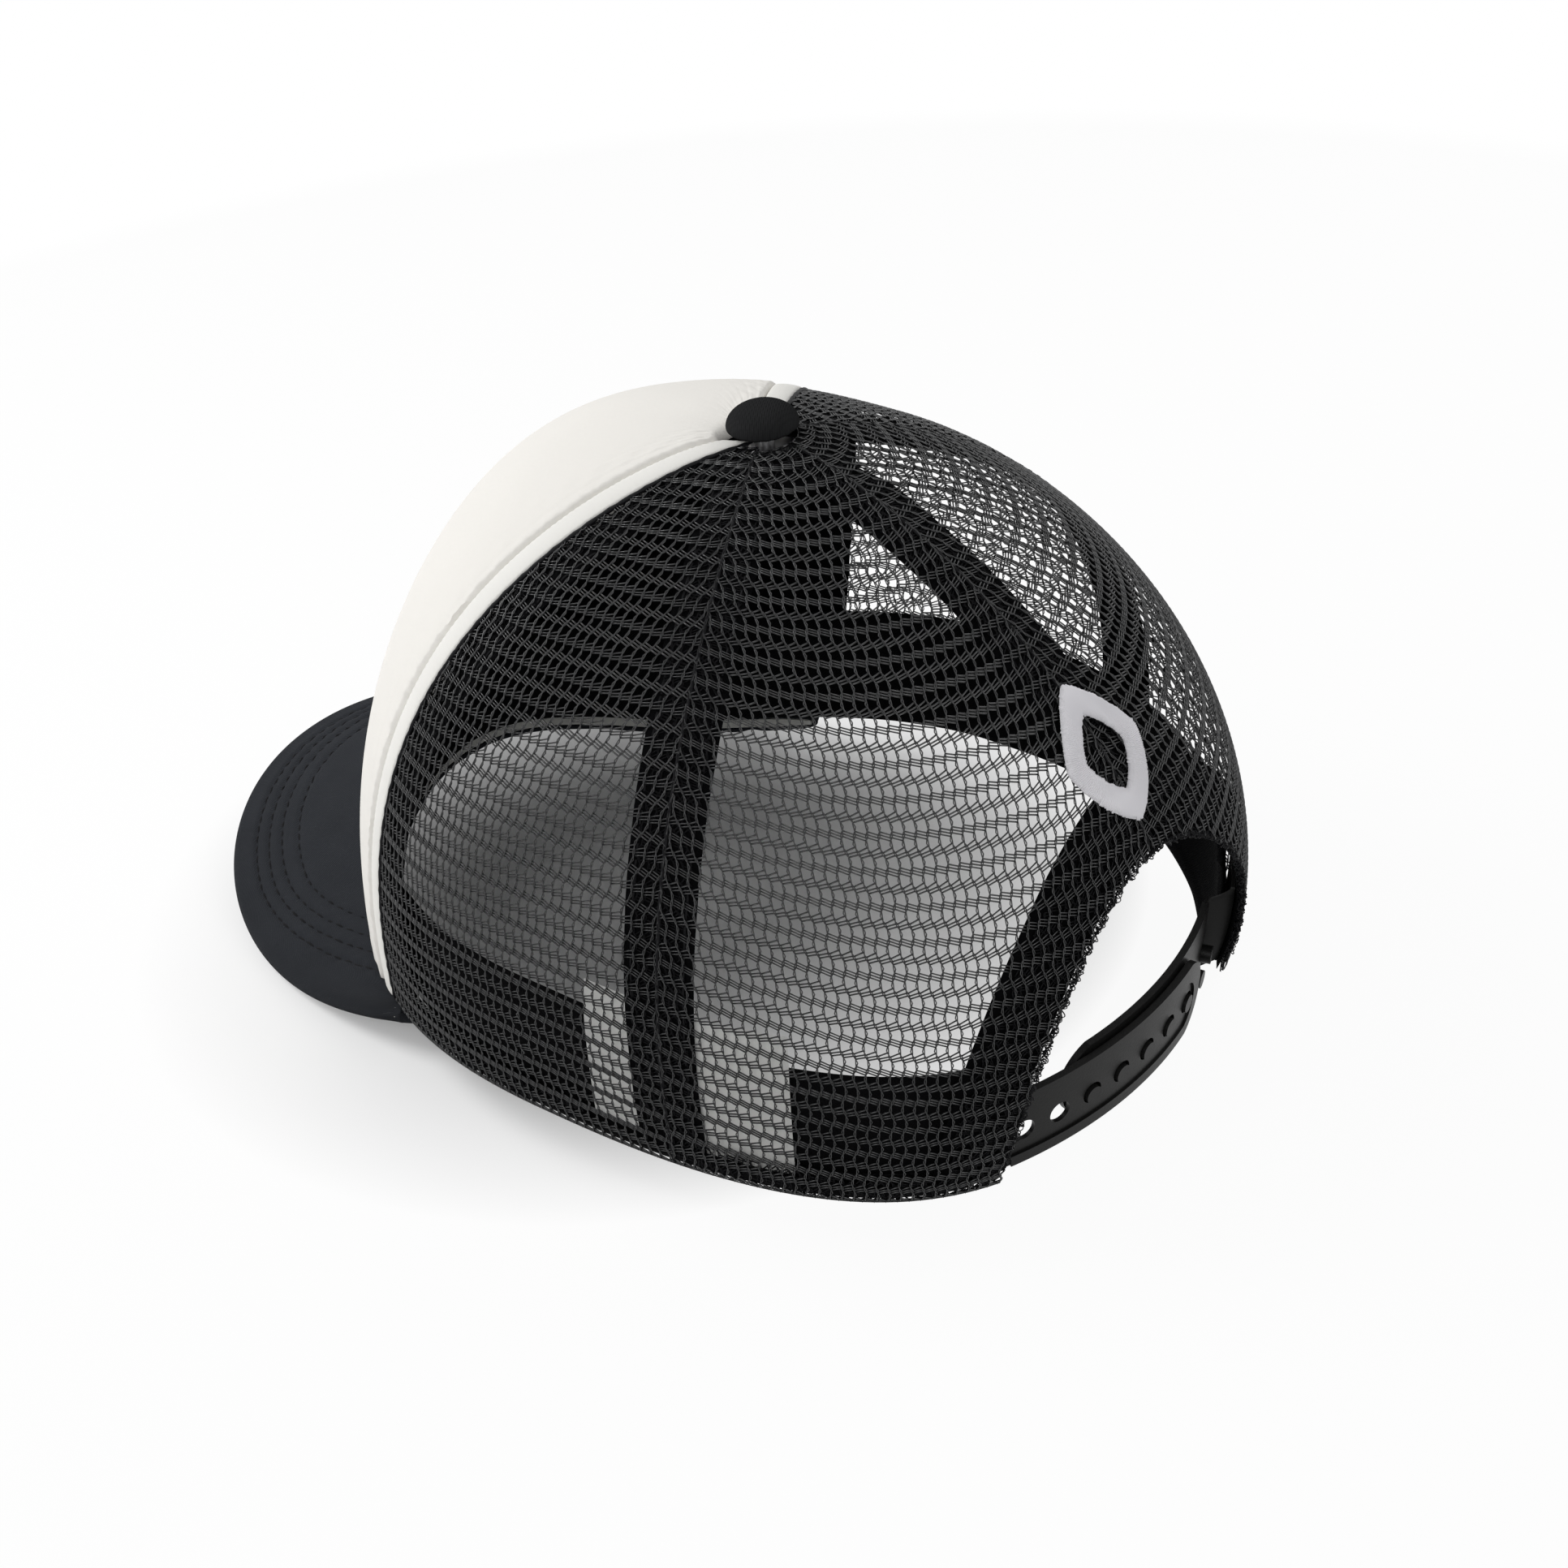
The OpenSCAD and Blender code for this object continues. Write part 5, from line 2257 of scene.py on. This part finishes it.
@dataclass(frozen=True)
class Lamp:
    """A soft square lamp that looks at the cap."""

    name: str
    place: tuple[float, float, float]
    size: float
    power: float

    def hang(self) -> None:
        """Add the lamp and aim it at the crown's middle."""
        Bench.clear()
        bpy.ops.object.light_add(type="AREA", location=Vector(self.place) * MM)
        lamp = bpy.context.object
        lamp.name = lamp.data.name = self.name
        lamp.data.size = self.size * MM
        lamp.data.energy = self.power
        aim = Vector((0, 0, 60)) - Vector(self.place)
        lamp.rotation_euler = aim.to_track_quat("-Z", "Y").to_euler()


@dataclass(frozen=True)
class Studio:
    """A pale floor with light painted on it, soft lamps and the camera."""

    eye: tuple[float, float, float] = (397.5, 367.1, 384.0)
    right: tuple[float, float, float] = (-0.62500, 0.77439, -0.09848)
    up: tuple[float, float, float] = (-0.46963, -0.27223, 0.83984)
    back: tuple[float, float, float] = (0.62355, 0.57115, 0.53382)
    lens: float = 69.0
    lamps: tuple[Lamp, ...] = (Lamp("key", (190, -520, 560), 380, 3.3),
                               Lamp("fill", (600, 420, 520), 420, 1.5),
                               Lamp("rear", (-560, 180, 480), 420, 1.0))
    room: float = 0.36
    floor: float = -0.75
    floor_size: float = 6000.0
    floor_white: float = 0.86
    # Painted light on the floor: for the camera, a glow grows out from this middle over these distances,
    # up to this share, lighting the floor under the bill and washing out the shadow round the rim.
    painted_light_middle: tuple[float, float, float] = (0.0, -45.0, 0.0)
    painted_light_reach: tuple[float, float] = (26.0, 116.0)
    far_glow: tuple[float, float] = (160.0, 500.0)
    painted_light_most: float = 0.97

    def build(self) -> None:
        """Set the stage."""
        bpy.context.scene.view_settings.view_transform = "Standard"
        self.lay_floor()
        self.light_world()
        for lamp in self.lamps:
            lamp.hang()
        self.set_camera()

    def set_camera(self) -> None:
        """Set the camera behind the cap, on its left and above it."""
        Bench.clear()
        bpy.ops.object.camera_add(location=Vector(self.eye) * MM)
        camera = bpy.context.object
        camera.name = "camera"
        camera.rotation_euler = Matrix((self.right, self.up, self.back)).transposed().to_euler()
        camera.data.lens = self.lens
        camera.data.sensor_width = 36.0
        camera.data.clip_end = 20.0
        bpy.context.scene.camera = camera

    def lay_floor(self) -> None:
        """Lay a white floor that keeps the cap's shadow in its middle and faintly round the rim, and
        fades into the backdrop; for the camera a glow, growing out from the cap's middle, paints light
        on the floor under the bill and round the rim.
        """
        Bench.clear()
        bpy.ops.mesh.primitive_plane_add(size=self.floor_size * MM, location=(0, 0, self.floor * MM))
        floor = Bench.named("studio_floor")
        Bench.bake_place(floor)
        made, desk = NodeDesk.material("studio_floor")
        cloth = desk.add("BsdfDiffuse", {"Color": (*[self.floor_white] * 3, 1)})
        where = desk.add("TexCoord").outputs["Object"]
        middle = Vector(self.painted_light_middle) * MM
        away = desk.add("VectorMath", {0: where, 1: middle}, operation="DISTANCE").outputs["Value"]
        # near paints light on the floor round the cap's middle, for the camera only; far fades the floor
        # into the white backdrop.
        near, far = (desk.add("MapRange", {"Value": away, "From Min": low * MM, "From Max": high * MM,
                                           "To Max": most}).outputs["Result"]
                     for (low, high), most in ((self.painted_light_reach, self.painted_light_most), (self.far_glow, 1.0)))
        glow = desk.add("Emission", {"Color": (1, 1, 1, 1), "Strength": 1.0})
        share = desk.math("MAXIMUM", desk.math("POWER", near, 2.0), far)
        both = desk.add("MixShader", {"Fac": share, 1: cloth.outputs[0], 2: glow.outputs[0]})
        seen = desk.add("MixShader", {"Fac": desk.seen(), 1: cloth.outputs[0], 2: both.outputs[0]})
        desk.add("OutputMaterial", {"Surface": seen.outputs[0]})
        floor.data.materials.append(made)

    def light_world(self) -> None:
        """Light the room evenly, with a white backdrop for the camera."""
        world = bpy.data.worlds.new("studio_world")
        bpy.context.scene.world = world
        world.use_nodes = True
        world.node_tree.nodes.clear()
        desk = NodeDesk(world.node_tree)
        room, white = (desk.add("Background", {"Color": (1, 1, 1, 1), "Strength": strength}).outputs[0]
                       for strength in (self.room, 1.0))
        both = desk.add("MixShader", {"Fac": desk.seen(), 1: room, 2: white})
        desk.add("OutputWorld", {"Surface": both.outputs[0]})


def main() -> None:
    """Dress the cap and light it."""
    logging.basicConfig(level=logging.INFO, format="%(message)s")
    Cap().build()
    Studio().build()


if __name__ == "__main__":
    main()
